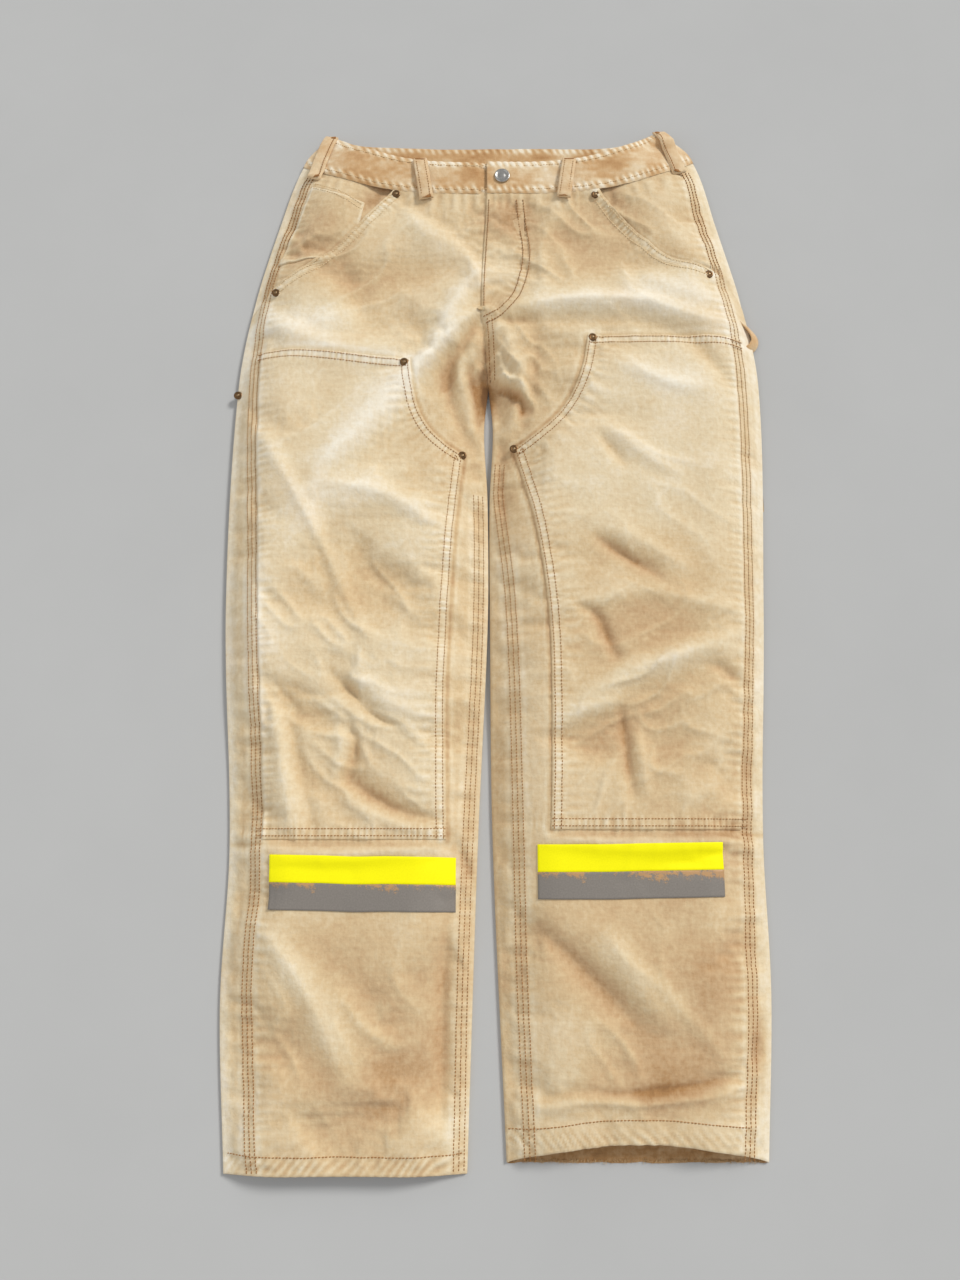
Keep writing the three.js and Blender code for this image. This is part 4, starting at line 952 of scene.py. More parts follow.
for tag, leg in LEGS.items():
    side = leg["side"]
    low = 846 if tag == "right" else 872
    v, u = np.linspace(0, 1, 96)[:, None], np.linspace(0, 1, 60)[None, :]
    s = low - 16 + v * (BAND_SEAM + 4 - low + 16) + 0 * u
    start = SCOOP[tag](s) - side * 15
    x = start + (leg["outer"](s) - start) * u
    y = y_of(leg, x, s)
    drop = facing_drop(leg, x, y)
    z = height(leg, x, y) - 0.4 - drop - 1.8 * (1 - ease(0, 14, s - low + 16))
    # painted shade: the facing is darker the deeper it lies under the front's edge; the outseam edge is
    # rubbed pale
    T = read(TONE, x, y) - 0.03 - 0.05 * drop + 0.25 * np.exp(-(((leg["outer"](s) - x) / 8) ** 2))
    outs, falls = [0.5, 0.9, 0.7, -1.2], [0.12, 0.45, 0.85, 1.0]
    drop = (z - back_top(s) + 1.3)[:, -1:]
    X = np.hstack([x] + [x[:, -1:] + side * out for out in outs])
    Z = np.hstack([z] + [z[:, -1:] - fall * drop for fall in falls])
    Y, T = np.hstack([y] + [y[:, -1:]] * 4), np.hstack([T] + [T[:, -1:]] * 4)
    facing = add_sheet(f"{tag}_facing", X, Y, Z, T)
    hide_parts(f"{tag}_pocket_facing")
    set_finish(facing, "canvas")
    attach(facing, "trousers")
    bag_low, bag_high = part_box(f"{tag}_pocket_bag")
    bag_left, bag_right = bag_low.x * 1000 - SHIFT + 2, bag_high.x * 1000 - SHIFT - 2
    bx = np.linspace(bag_left, bag_right, 40)[None, :] + np.zeros((60, 1))
    rounding = 1 - np.sqrt(np.clip(np.sin(np.pi * (np.arange(40) + 0.5) / 40), 0, 1))
    lower = bag_low.y * 1000 + 14 * rounding[None, :]
    by = lower + (BAND_SEAM - HALF - 44 - lower) * np.linspace(0, 1, 60)[:, None]
    bz = rise(leg, bx, station(leg, bx, by)) - 8.5
    bag = add_sheet(f"{tag}_bag", bx, by, np.maximum(bz, back_top(station(leg, bx, by)) + 0.5), 0.6)
    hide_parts(f"{tag}_pocket_bag")
    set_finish(bag, "pocket_lining")
    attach(bag, "trousers")

v, u = np.linspace(0, 1, 50)[:, None], np.linspace(0, 1, 44)[None, :]
left_edge = np.array([-240, 372]) + v[..., None] * np.array([34, 96])
right_edge = np.array([-158, 378]) + v[..., None] * np.array([11, 66])
corner = left_edge + (right_edge - left_edge) * u[..., None]
x, y = corner[..., 0], corner[..., 1] - 2.5 * np.sin(np.pi * u) * v
X, Y, Z = hemmed(x, y, height(RIGHT, x, y) - facing_drop(RIGHT, x, y) + 1.3, drop=1.8)
rim = np.ones(X.shape)
rim[4:-4, 4:-4] = 0
coin = add_sheet("coin_pocket_cloth", X, Y, Z, read(TONE, X, Y) - 0.06 + 0.16 * rim)
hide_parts("coin_pocket")
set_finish(coin, "canvas")
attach(coin, "trousers")
print("pockets made")

# %% [markdown]
# ## Pockets and loops on the back
# The seat pockets and the tool pockets lie under the trousers, pressed flat on the floor. Each is a simple
# turned-edge sheet between the floor and the back.

# %% Back pockets and tool pockets
for tag in LEGS:
    for kind in ("back_pocket", "tool_pocket"):
        low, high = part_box(f"{tag}_{kind}")
        left, right = low.x * 1000 - SHIFT + 0.6, high.x * 1000 - SHIFT - 0.6
        x = np.linspace(left, right, 60)[None, :] + np.zeros((64, 1))
        y = np.linspace(low.y * 1000 + 0.6, high.y * 1000 - 0.6, 64)[:, None] + 0 * x
        X, Y, Z = hemmed(x, y, 1.1 - 0.25 * np.abs(noise(x, y, 14, 81)), drop=-0.3)
        under = add_sheet(f"{tag}_{kind}_cloth", X, Y, Z, 0.5 + 0.1 * noise(X, Y, 30, 83))
        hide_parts(f"{tag}_{kind}")
        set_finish(under, "canvas")
        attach(under, "trousers")
print("back pockets made")

# %% [markdown]
# ## The waistband
# A folded strip of browner canvas, 39 mm high. The front has two ends, the left with the buttonhole lapped
# over the right; the back shows its inside above them. Each is a profile, up the outside, over a rolled
# top edge and a little way down the inside, carried across the waist.

# %% Band profile
def band_points(leg, x_from, x_to, columns, base):
    """Rows up the face of the band, over its top edge and down inside; base adds to the height."""
    rows_s = np.concatenate([
        np.linspace(BAND_SEAM - 1.2, TOP - 0.8, 26),
        [TOP, TOP + 0.3, TOP - 0.3, TOP - 5, TOP - 14],
    ])
    lift = np.concatenate([[0.1, 0.9], np.full(22, 1.3), [1.25, 1.1], [0.6, -0.6, -1.8, -2.3, -2.3]])
    u = np.linspace(0, 1, columns)[None, :]
    s = rows_s[:, None] + 0 * u
    ends = x_from(s), x_to(s)
    x = ends[0] + (ends[1] - ends[0]) * u
    y = y_of(leg, x, s)
    seam = np.exp(-(((s - BAND_SEAM - 4) / 5) ** 2)) + np.exp(-(((s - TOP + 3) / 5) ** 2))
    rungs = 0.45 * np.sin(2 * np.pi * (x + 0.5 * y) / 8.5 + 2.5 * noise(x, 0 * x, 22, 90)) * seam
    z = height(leg, x, y) + lift[:, None] + base(x, s) + rungs
    return x, y, z, s


def close_sides(x, y, z, leg, outer_last):
    """Adds columns at the corner end that roll down to the back band."""
    side = leg["side"]
    col = slice(-1, None) if outer_last else slice(0, 1)
    drop = (z - 2.6)[:, col]
    outs, falls = [0.8, 1.4, 1.0, -0.8], [0.15, 0.5, 0.85, 1.0]
    extra = [(x[:, col] + side * o, z[:, col] - f * drop) for o, f in zip(outs, falls)]
    if not outer_last:
        extra = extra[::-1]
    xs, ys, zs = [e[0] for e in extra], [y[:, col]] * 4, [e[1] for e in extra]
    parts = ([x] + xs, [y] + ys, [z] + zs) if outer_last else (xs + [x], ys + [y], zs + [z])
    return [np.hstack(p) for p in parts]


def band_tone(x, y, s):
    """Browner than the legs, mottled; along both seams a rubbed line, and rungs of pucker: rubbed wear with
    painted highlight on their ridges and painted shade between.
    """
    up, down = np.exp(-(((s - TOP + 3) / 4) ** 2)), np.exp(-(((s - BAND_SEAM - 4) / 4) ** 2))
    rungs = np.sin(2 * np.pi * (x + 0.5 * y) / 8.5 + 2.5 * noise(x, 0 * x, 22, 90))
    base = 0.62 + 0.22 * noise(x, y, 26, 91) + 0.14 * noise(x, y * 2.0, 9, 92)
    return base + 0.22 * up + 0.12 * down + 0.26 * rungs * (up + down)


left_x, left_y, left_z, left_s = band_points(
    LEFT, lambda s: centre_line(s) - 1.2, LEFT["outer"], 150,
    lambda x, s: 1.2 * np.exp(-(((x - CENTRE) / 40) ** 2)),
)
left_x, left_y, left_z = close_sides(left_x, left_y, left_z, LEFT, True)
# the cut end of the lap turns down to the right band
left_x = np.hstack([left_x[:, :1] - 0.4, left_x[:, :1] - 0.5, left_x])
left_y = np.hstack([left_y[:, :1], left_y[:, :1], left_y])
left_z = np.hstack([left_z[:, :1] - 1.7, left_z[:, :1] - 0.6, left_z])
left_band = add_sheet("left_band", left_x, left_y, left_z, band_tone(left_x, left_y, left_s[:, :1]))
right_x, right_y, right_z, right_s = band_points(
    RIGHT, RIGHT["outer"], lambda s: CENTRE + 35 + 0 * s, 160,
    lambda x, s: -2.2 * ease(CENTRE - 14, CENTRE - 2, x),
)
under_left = right_x > CENTRE - 2
right_y = np.where(under_left, right_s - sag(LEFT, right_x, right_s) - HALF, right_y)
right_z = np.where(under_left, height(LEFT, right_x, right_y) + 1.3 - 2.6, right_z)
right_x, right_y, right_z = close_sides(right_x, right_y, right_z, RIGHT, False)
right_band = add_sheet("right_band", right_x, right_y, right_z, band_tone(right_x, right_y, right_s[:, :1]))
rows_s = np.concatenate([np.linspace(BAND_SEAM - 4, TOP - 0.6, 30), [TOP, TOP + 0.1, TOP - 0.3, TOP - 6]])
fall = np.concatenate([np.zeros(30), [-0.3, -0.9, -1.5, -1.6]])
u = np.linspace(0, 1, 220)[None, :]
s = rows_s[:, None] + 0 * u
x = RIGHT["outer"](s) + (LEFT["outer"](s) - RIGHT["outer"](s)) * u
y = s - HALF - 1.5 * noise(x, 0 * x, 60, 93) * ease(BAND_SEAM, TOP, s)
y = y + (18 + 3 * np.sign(2 * u - 1)) * np.abs(2 * u - 1) ** 6 * ease(BAND_SEAM - 130, BAND_SEAM + 20, s)
ripple = 1.6 * np.abs(noise(x, y * 0.4, 30, 94)) * np.sin(np.pi * u)
z = 2.9 + fall[:, None] + ripple * ease(BAND_SEAM, TOP, s)
back_band = add_sheet("back_band", x, y, z, band_tone(x, y + 40, s) - 0.12)
BANDS = [
    (left_band, "waistband_left_front", (0.228, 0.055)),
    (right_band, "waistband_right_front", (0.245, 0.055)),
    (back_band, "waistband_back", (0.43, 0.046)),
]
for band, node_name, size in BANDS:
    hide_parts(node_name)
    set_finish(band, "waistband")
    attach(band, "trousers")
print("bands made")

# %% [markdown]
# ## Belt loops and the hammer loop
# Each is a narrow strip of the same canvas, folded in three and sewn down at both ends, so it stands off
# the band in a low arch. A strap is one closed cross-section carried along a path.

# %% Straps
def tube(index):
    """Quads round a tube whose points are numbered ring by ring, one ring in each row of index."""
    around = np.roll(index, -1, 1)
    return np.stack([index[:-1], around[:-1], around[1:], index[1:]], -1).reshape(-1, 4)


def carry(path, wide, thick, across):
    """Quads of a rounded strap: an eight-sided section, wide by thick, at each path point. across is the
    direction of the width; the thin way is square to it and to the path."""
    path = np.asarray(path, float)
    run = np.gradient(path, axis=0)
    run /= np.linalg.norm(run, axis=1, keepdims=True)
    across = np.cross(np.cross(run, across), run)
    across /= np.linalg.norm(across, axis=1, keepdims=True)
    thin = np.cross(run, across)
    a = np.array([-0.5, -0.44, 0.44, 0.5, 0.5, 0.44, -0.44, -0.5]) * wide
    b = np.array([-0.2, -0.5, -0.5, -0.2, 0.2, 0.5, 0.5, 0.2]) * thick
    points = path[:, None] + a[:, None] * across[:, None] + b[:, None] * thin[:, None]
    rows = len(path)
    index = np.arange(rows * 8).reshape(rows, 8)
    quads = tube(index)
    cap = np.array([[0, 3, 2, 1], [0, 7, 4, 3], [4, 7, 6, 5]])
    quads = np.vstack([quads, cap, (cap + (rows - 1) * 8)[:, ::-1]])
    return points.reshape(-1, 3), quads


def add_strap(name, node_name, path, wide, thick, across, body, tone):
    """A strap in the place of one solid, given the finish of the waistband's canvas."""
    points, quads = carry(path, wide, thick, across)
    wear = tone + 0.12 * noise(points[:, 0], points[:, 1], 9, 97)
    strap = add_mesh(name, points, quads, wear)
    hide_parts(node_name)
    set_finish(strap, "waistband")
    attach(strap, body)


LEAN = {
    "right_front": (-78, -86),
    "left_front": (73, 80.5),
    "right_side": (-205, -189),
    "left_side": (205, 186),
}
LIFTED = {"right_front": 0, "left_front": 0, "right_side": 14, "left_side": 20}


def loop_line(place, t):
    """Points on the plan up a front or side belt loop, at shares t of its length."""
    low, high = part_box(f"belt_loop_{place}")
    x_low, x_high = LEAN[place]
    y = (low.y + (high.y - low.y) * t) * 1000 + LIFTED[place]
    return np.stack([x_low + (x_high - x_low) * t, y], -1)


for place in LEAN:
    leg = RIGHT if place.startswith("right") else LEFT
    t = np.linspace(0, 1, 26)
    x, y = loop_line(place, t).T
    bow = 3.0 * np.sin(np.pi * t) ** 0.7 + 0.9
    z = height(leg, x, y) + 1.6 + bow
    z[0] -= 0.6
    path = np.stack([x, y, z], 1)
    add_strap(f"loop_{place}", f"belt_loop_{place}", path, 15.5, 1.9, [1, 0, 0], "trousers", 0.66)
for place in ("right_back", "centre_back", "left_back"):
    low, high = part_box(f"belt_loop_{place}")
    y = np.linspace(low.y * 1000 + 1, high.y * 1000 - 1, 12)
    x = np.full(12, (low.x + high.x) * 500 - SHIFT)
    z = 0.5 * (low.z + high.z) * 1000 + 0 * y
    path = np.stack([x, y, z], 1)
    add_strap(f"loop_{place}", f"belt_loop_{place}", path, 13.5, 1.2, [1, 0, 0], "trousers", 0.42)
hammer = softened(softened([[261, 314], [270, 306], [279, 294], [280.5, 285], [275, 277], [262, 271]]))
path = np.column_stack([hammer, np.full(len(hammer), 6.0)])
add_strap("hammer_strap", "hammer_loop", path, 11.5, 1.7, [-0.8, 0.2, 0.6], "tool_strap", 0.6)
print("straps", len(LEAN) + 4)

# %% [markdown]
# ## Inside the fly
# Under the left lap come its facing, the two zip tapes and the shield. They are closed over in this lay and
# are made plainly, each as a sheet at its own depth below the front. The teeth are small brass blocks.

# %% Fly layers and zip tapes
def add_layer(name, node_name, depth, slot, pad=0.5):
    """A flat layer over a solid's plan box, at a depth below the broad front surface."""
    low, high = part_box(node_name)
    x = np.linspace(low.x * 1000 - SHIFT + pad, high.x * 1000 - SHIFT - pad, 30)[None, :] + np.zeros((90, 1))
    y = np.linspace(low.y * 1000 + pad, high.y * 1000 - pad, 90)[:, None] + 0 * x
    beside_centre = np.maximum(x, CENTRE + 1)
    z = rise(LEFT, beside_centre, station(LEFT, beside_centre, y)) - depth
    layer = add_sheet(name, x, y, z, 0.5 + 0.1 * noise(x, y, 14, 98))
    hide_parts(node_name)
    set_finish(layer, slot)
    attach(layer, "trousers")


FLY = [
    ("fly_facing_cloth", "fly_facing", 2.9, "canvas"),
    ("zip_tape_left_weave", "zip_tape_left", 9.8, "zip_tape"),
    ("zip_tape_right_weave", "zip_tape_right", 10.1, "zip_tape"),
    ("fly_shield_cloth", "fly_shield", 12.4, "canvas"),
]
for layer in FLY:
    add_layer(*layer)


def blocks(centres, size):
    """Quads of many small boxes at given centres."""
    ring = [[-1, -1], [1, -1], [1, 1], [-1, 1]]
    corner = np.array([[*point, z] for z in (-1, 1) for point in ring]) / 2
    points = (np.asarray(centres)[:, None] + corner * size).reshape(-1, 3)
    box = np.array([[0, 3, 2, 1], [4, 5, 6, 7], [0, 1, 5, 4], [1, 2, 6, 5], [2, 3, 7, 6], [3, 0, 4, 7]])
    return points, (np.arange(len(centres))[:, None, None] * 8 + box).reshape(-1, 4)


TEETH, TOOTH_PITCH, TOOTH = 70, 1.7, [2.4, 0.9, 0.8]
tooth_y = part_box("zip_tape_left")[0].y * 1000 + 8 + np.arange(TEETH) * TOOTH_PITCH
zip_x = 500 * (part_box("zip_slider")[0].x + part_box("zip_slider")[1].x) - SHIFT
for side, name in ((-1, "right"), (1, "left")):
    x = np.full(TEETH, zip_x + side * 0.9)
    y = tooth_y + (TOOTH_PITCH / 2 if side > 0 else 0)
    z = rise(LEFT, x, station(LEFT, x, y)) - 8.7
    teeth = add_mesh(f"zip_teeth_{name}", *blocks(np.stack([x, y, z], 1), TOOTH))
    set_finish(teeth, "zip_metal")
    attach(teeth, "trousers")
print("fly layers", len(FLY))

# %% [markdown]
# ## Rivets and the button
# Both are pressed metal and round, so each is a profile turned about an upright axis. A rivet is a low
# bronze cap with the bright end of its tack standing in the middle; the button has a rolled rim.

# %% Turned metal
def turned(profile, at, segments=28):
    """Quads of a profile of (radius, height) points turned about an upright axis; the last point's ring
    and the first are closed with quads across them."""
    profile = np.array(profile, float)
    angle = np.arange(segments) * 2 * np.pi / segments
    ring = np.stack([np.cos(angle), np.sin(angle)], 1)
    upright = np.broadcast_to(profile[:, None, 1:], (len(profile), segments, 1))
    points = np.concatenate([profile[:, None, :1] * ring, upright], 2)
    index = np.arange(len(profile) * segments).reshape(len(profile), segments)
    quads = tube(index)
    k = np.arange(segments // 2 - 1)
    lid = np.stack([k, k + 1, segments - 2 - k, segments - 1 - k], -1)
    quads = np.vstack([quads, lid[:, ::-1], lid + index[-1, 0]])
    return points.reshape(-1, 3) + at, quads


CAP = [[3.6, -1.6], [4.4, -0.6], [4.5, 0.1], [4.2, 0.55], [3.2, 0.8], [2.6, 0.62], [2.0, 0.5], [1.7, 0.5]]
NUB = [[1.6, -0.4], [1.6, 0.5], [1.4, 0.95], [0.9, 1.15], [0.3, 1.2]]
SPOTS = {
    "right_pocket_top": (RIGHT, None, 0.3),
    "right_pocket_low": (RIGHT, None, 0.3),
    "right_patch_hip": (RIGHT, (-98.5, 246), PATCH_TOP + 0.3),
    "right_patch_corner": (RIGHT, (-37.5, 149), PATCH_TOP + 0.3),
    "left_pocket_top": (LEFT, None, 0.3),
    "left_pocket_low": (LEFT, None, 0.3),
    "left_patch_hip": (LEFT, (100.5, 278), PATCH_TOP + 0.3),
    "left_patch_corner": (LEFT, (16.5, 156.5), PATCH_TOP + 0.3),
    "tool_pocket": (RIGHT, None, None),
}
for place, (leg, at, lift) in SPOTS.items():
    low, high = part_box(f"rivet_{place}")
    x, y = ((low.x + high.x) * 500 - SHIFT, (low.y + high.y) * 500) if at is None else at
    z = float(height(leg, x, y)) + lift + 0.5 if lift is not None else 7.6
    cap = add_mesh(f"cap_{place}", *turned(CAP, [x, y, z], 32))
    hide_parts(f"rivet_{place}")
    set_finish(cap, "rivet_metal")
    nub = add_mesh(f"nub_{place}", *turned(NUB, [x, y, z], 20))
    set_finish(nub, "rivet_metal")
    for piece in (cap, nub):
        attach(piece, "trousers")

low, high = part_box("waist_button_cap")
button_x, button_y = (low.x + high.x) * 500 - SHIFT, (low.y + high.y) * 500
button_z = float(height(LEFT, button_x, button_y)) + 3.6
FACE = [[6.4, -2.2], [8.1, -1.0], [8.6, 0.0], [8.2, 0.8], [7.3, 1.05], [6.6, 0.75], [6.1, 0.35], [3.4, 0.5],
        [2.6, 0.85], [0.6, 0.95]]
cap = add_mesh("button_face", *turned(FACE, [button_x, button_y, button_z], 48))
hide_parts("waist_button_cap")
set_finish(cap, "button_metal")
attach(cap, "button")
print("rivets", len(SPOTS), "button at height", round(button_z, 1))

# %% [markdown]
# ## Thread
# A stitch is a short bar of thread that dips into the cloth at both ends. Each is a four-sided bar with
# narrowed ends; thousands of them are worked out at once, along lines on the plan, and joined in one mesh
# for each leg and colour. Brown thread holds the seams, pale thread the pockets and the fly.

# %% Stitches
SEWN = {}


def bars(middle, ahead, length, thick, dip):
    """Quads of many bars: each middle point, its direction, and rings at -1, -0.55, 0.55 and 1 of its
    half length, the end rings narrower and lower by dip."""
    up = np.array([0, 0, 1.0])
    beside_it = np.cross(up, ahead)
    beside_it /= np.linalg.norm(beside_it, axis=1, keepdims=True) + 1e-9
    over = np.cross(ahead, beside_it)
    half = np.broadcast_to(length, len(middle))[:, None, None] / 2
    reach = np.array([-1, -0.55, 0.55, 1])[None, :, None] * half
    size = np.array([0.45, 1, 1, 0.45])[None, :, None, None] * thick / 2
    centre = middle[:, None] + ahead[:, None] * reach - np.array([1, 0, 0, 1])[None, :, None] * dip * up
    angle = np.radians([45, 135, 225, 315])
    cos, sin = np.cos(angle)[:, None], np.sin(angle)[:, None]
    round_it = cos * beside_it[:, None, None] + sin * over[:, None, None]
    points = (centre[:, :, None] + 1.3 * size * round_it).reshape(-1, 3)
    index = np.arange(16).reshape(4, 4)
    one = np.vstack([tube(index), [[3, 2, 1, 0], [12, 13, 14, 15]]])
    return points, (np.arange(len(middle))[:, None, None] * 16 + one).reshape(-1, 4)


def sew(key, leg, line, lift=0.15, aside=0.0, pitch=3.1, length=2.5, thick=0.8, seed=0):
    """Adds a row of stitches along a line on the plan (moved sideways by aside) to the thread of a key."""
    line = shifted(line, aside) if aside else np.array(line, float)
    run = np.concatenate([[0], np.cumsum(np.linalg.norm(np.diff(line, axis=0), axis=1))])
    at = np.arange(pitch / 2, run[-1], pitch)
    wobble = np.random.default_rng(seed + len(at)).normal(0, 0.12, len(at))
    ends = []
    for offset in (-length / 2, length / 2):
        p = np.stack([np.interp(at + offset, run, line[:, k]) for k in (0, 1)], 1)
        p[:, 0] += wobble
        z = height(leg, p[:, 0], p[:, 1]) + (lift(*p.T) if callable(lift) else lift)
        ends.append(np.column_stack([p, z]))
    middle, ahead = (ends[0] + ends[1]) / 2, ends[1] - ends[0]
    long = np.linalg.norm(ahead, axis=1, keepdims=True) + 1e-9
    SEWN.setdefault(key, []).append(bars(middle, ahead / long, long[:, 0], thick, 0.4))


for tag, leg in LEGS.items():
    side = leg["side"]
    brown, pale = (tag, "brown"), (tag, "pale")
    on_patch = PATCH_TOP + 0.1
    for aside in (-4.7, 0, 4.7):
        sew(brown, leg, SEAMS[tag, "side"], 0.15, aside)
        sew(brown, leg, SEAMS[tag, "inseam"], 0.1, aside)
    for inset in (2.5, 9.0):
        sew(brown, leg, SEAMS[tag, "patch"], on_patch, -side * inset)
        sew(brown, leg, SEAMS[tag, "patch_end"], on_patch, side * inset)
    corner_x = float(SIDE_SEAM[tag](leg["fold"]) * -side + leg["outer"](leg["fold"]))
    bottom_x = np.linspace(float(SEAMS[tag, "patch"][0][0]), corner_x, 30)
    for up in (3.0, 9.5):
        bottom = np.stack([bottom_x, np.full(30, SEAMS[tag, "patch"][0][1] + up)], 1)
        sew(brown, leg, bottom, on_patch)
    for inset in (2.5, 10.0):
        sew(pale, leg, SEAMS[tag, "pocket"], 0.1, side * inset, pitch=3.0, thick=0.95)
    for inset in (4.0, 34.0):
        end = float(leg["outer"](BAND_SEAM + inset)) - side * 4
        x = np.linspace(CENTRE + (2 if side > 0 else -1), end, 60)
        line = np.stack([x, y_of(leg, x, np.full(60, BAND_SEAM + inset))], 1)
        sew((tag, "band"), leg, line, 1.5)
hem = np.linspace(0.02, 0.98, 40)
x = RIGHT["inner"](18) + (RIGHT["outer"](18) - RIGHT["inner"](18)) * hem
sew(("right", "brown"), RIGHT, np.stack([x, np.full(40, 17 - HALF)], 1))
left_hem = [[6, -497], [55, -491], [82, -486], [137, -485], [186, -489], [223, -494]]
sew(("left", "brown"), LEFT, softened(left_hem))
fly = softened([[28.6, 448.9], [31, 420], [36.7, 385.4], [31, 345], [20, 318], [4, 302], [-13, 296]])
sew(("left", "brown"), LEFT, fly, 1.2)
sew(("left", "brown"), LEFT, fly, 1.2, -7.5)
s = np.linspace(845, 1020, 30)
x = centre_line(s) + 1.2
sew(("left", "brown"), LEFT, np.stack([x, y_of(LEFT, x, s)], 1), 1.6)
centre = np.array([[-17.5, 330], [-15, 296], [-13, 262], [-12, 236]])
sew(("left", "brown"), LEFT, centre + [4, 0], 0.3)
sew(("left", "brown"), LEFT, centre + [9, 0], 0.3)
tack = np.stack([np.linspace(-21, -13, 18), np.full(18, 309.0)], 1)
for row in range(5):
    sew(("left", "pale"), LEFT, tack + [0, row * 0.8], 1.7 + 0.1 * row, pitch=1.0, length=1.4)
for line in ([[-206, 473], [-176, 457], [-149, 441]], [[-205, 466], [-175, 450], [-149, 434.5]]):
    sew(("right", "pale"), RIGHT, softened(line), lambda x, y: 1.5 - facing_drop(RIGHT, x, y))
for place in LEAN:
    low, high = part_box(f"belt_loop_{place}")
    leg = RIGHT if place.startswith("right") else LEFT
    t = np.linspace(0.04, 0.96, 24)
    line = loop_line(place, t)

    def arch(x, y, start=low.y * 1000 + LIFTED[place], span=(high.y - low.y) * 1000):
        return 3.5 + 3.0 * np.sin(np.pi * np.clip((y - start) / span, 0, 1)) ** 0.7

    for aside in (-4.6, 4.6):
        sew((leg["tag"], "loop"), leg, line, arch, aside)
    for at in (t[0], t[-1]):
        tack = loop_line(place, at) + np.stack([np.linspace(-5.5, 5.5, 12), np.zeros(12)], 1)
        for row in range(4):
            sew((leg["tag"], "loop"), leg, tack + [0, 0.8 * (row - 1.5)], 3.8, pitch=1.0, length=1.5)
for (tag, colour), rows in SEWN.items():
    starts = np.cumsum([0] + [len(points) for points, _ in rows[:-1]])
    points = np.vstack([points for points, _ in rows])
    quads = np.vstack([quads + start for (_, quads), start in zip(rows, starts)])
    thread = add_mesh(f"{tag}_{colour}_thread", points, quads, 0.5)
    thread["colour"] = colour
    if colour in ("band", "loop"):
        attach(thread, "trousers")
    else:
        blend_fold(thread)
    print(thread.name, len(quads), "faces")

# %% [markdown]
# ## Frayed hems
# The hems are rubbed through at the floor, and short ends of yarn stand out of them.

# %% Loose yarn
YARNS = {"right": (5, 120), "left": (6, 260)}
for tag, leg in LEGS.items():
    seed, count = YARNS[tag]
    rng = np.random.default_rng(seed)
    u = rng.uniform(0.02, 0.98, count)
    x = leg["inner"](leg["hem"]) + (leg["outer"](leg["hem"]) - leg["inner"](leg["hem"])) * u
    y = leg["hem"] - HALF + rng.uniform(-0.8, 1.2, count)
    long = rng.uniform(1.5, 4.5, count)
    lean = rng.uniform(-1.1, 1.1, count)
    ahead = np.stack([np.sin(lean), -np.cos(lean), rng.uniform(-0.05, 0.25, count)], 1)
    ahead /= np.linalg.norm(ahead, axis=1, keepdims=True)
    points, quads = bars(np.stack([x, y, rng.uniform(0.8, 1.6, count)], 1), ahead, long, 0.32, 0.1)
    points[:, 2] = np.maximum(points[:, 2], 0.1)
    fray = add_mesh(f"{tag}_fray", points, quads, 0.7)
    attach(fray, f"{tag}_lower_leg")
    fray["colour"] = "fray"
print("loose ends", sum(count for _, count in YARNS.values()))

# %% [markdown]
# ## Finishes
# Colours are read off such cloth as sRGB, and one function turns them into light.

# %% Node helper
def linear(code):
    """An sRGB colour as linear light: c/12.92 up to 0.04045, ((c + 0.055)/1.055)^2.4 above."""
    c = np.array([int(code[k:k + 2], 16) for k in (1, 3, 5)]) / 255
    return (*np.where(c <= 0.04045, c / 12.92, ((c + 0.055) / 1.055) ** 2.4).tolist(), 1.0)


def add(tree, kind, sockets=None, stops=None, **settings):
    """Adds a node: settings are its properties, sockets its inputs (a number, a colour or a link), and
    stops the colours of a ramp."""
    made = tree.nodes.new("ShaderNode" + kind)
    for key, value in settings.items():
        setattr(made, key, value)
    for key, value in (sockets or {}).items():
        if isinstance(value, bpy.types.NodeSocket):
            tree.links.new(value, made.inputs[key])
        else:
            made.inputs[key].default_value = value
    for number, (at, code) in enumerate(stops or []):
        ramp = made.color_ramp.elements
        element = ramp[number] if number < len(ramp) else ramp.new(at)
        element.position, element.color = at, linear(code)
    return made


def math(tree, operation, *values, clamp=False):
    """The result of a math node."""
    sockets = dict(enumerate(values))
    return add(tree, "Math", sockets, operation=operation, use_clamp=clamp).outputs[0]


def mix(tree, share, first, second):
    """Two colours mixed: the second one where share is 1."""
    return add(tree, "Mix", {0: share, 6: first, 7: second}, data_type="RGBA").outputs[2]


def relief(tree, heights, strength, distance, under=None):
    """A bump node's normal, from heights in metres times distance, laid over another normal."""
    sockets = {"Height": heights, "Strength": strength, "Distance": distance}
    if under is not None:
        sockets["Normal"] = under
    return add(tree, "Bump", sockets).outputs[0]


def begin(name):
    """A new material with only a principled shader and its output; returns it, its tree and shader."""
    material = bpy.data.materials.new(name)
    material.use_nodes = True
    tree = material.node_tree
    tree.nodes.clear()
    shader = add(tree, "BsdfPrincipled")
    add(tree, "OutputMaterial", {"Surface": shader.outputs["BSDF"]})
    return material, tree, shader


# %% [markdown]
# ## Canvas
# Duck is plain-woven from thick cotton yarn and dyed brown on its surface only, so it fades unevenly: the
# ramp runs from new brown to bone. On the tone kept in the mesh, wear with painted highlight and painted
# shade, lie cloudy mottling, streaks along the yarns, and a fine weave in the bump. Cotton fuzz gives a
# little sheen and almost no gloss.

# %% Canvas materials
# size across and along in millimetres, detail, and share of the tone
CLOUDS = [((34, 30), 4, 0.22), ((5, 6), 4, 0.36), ((1.9, 18), 2, 0.08), ((20, 2.1), 2, 0.10)]


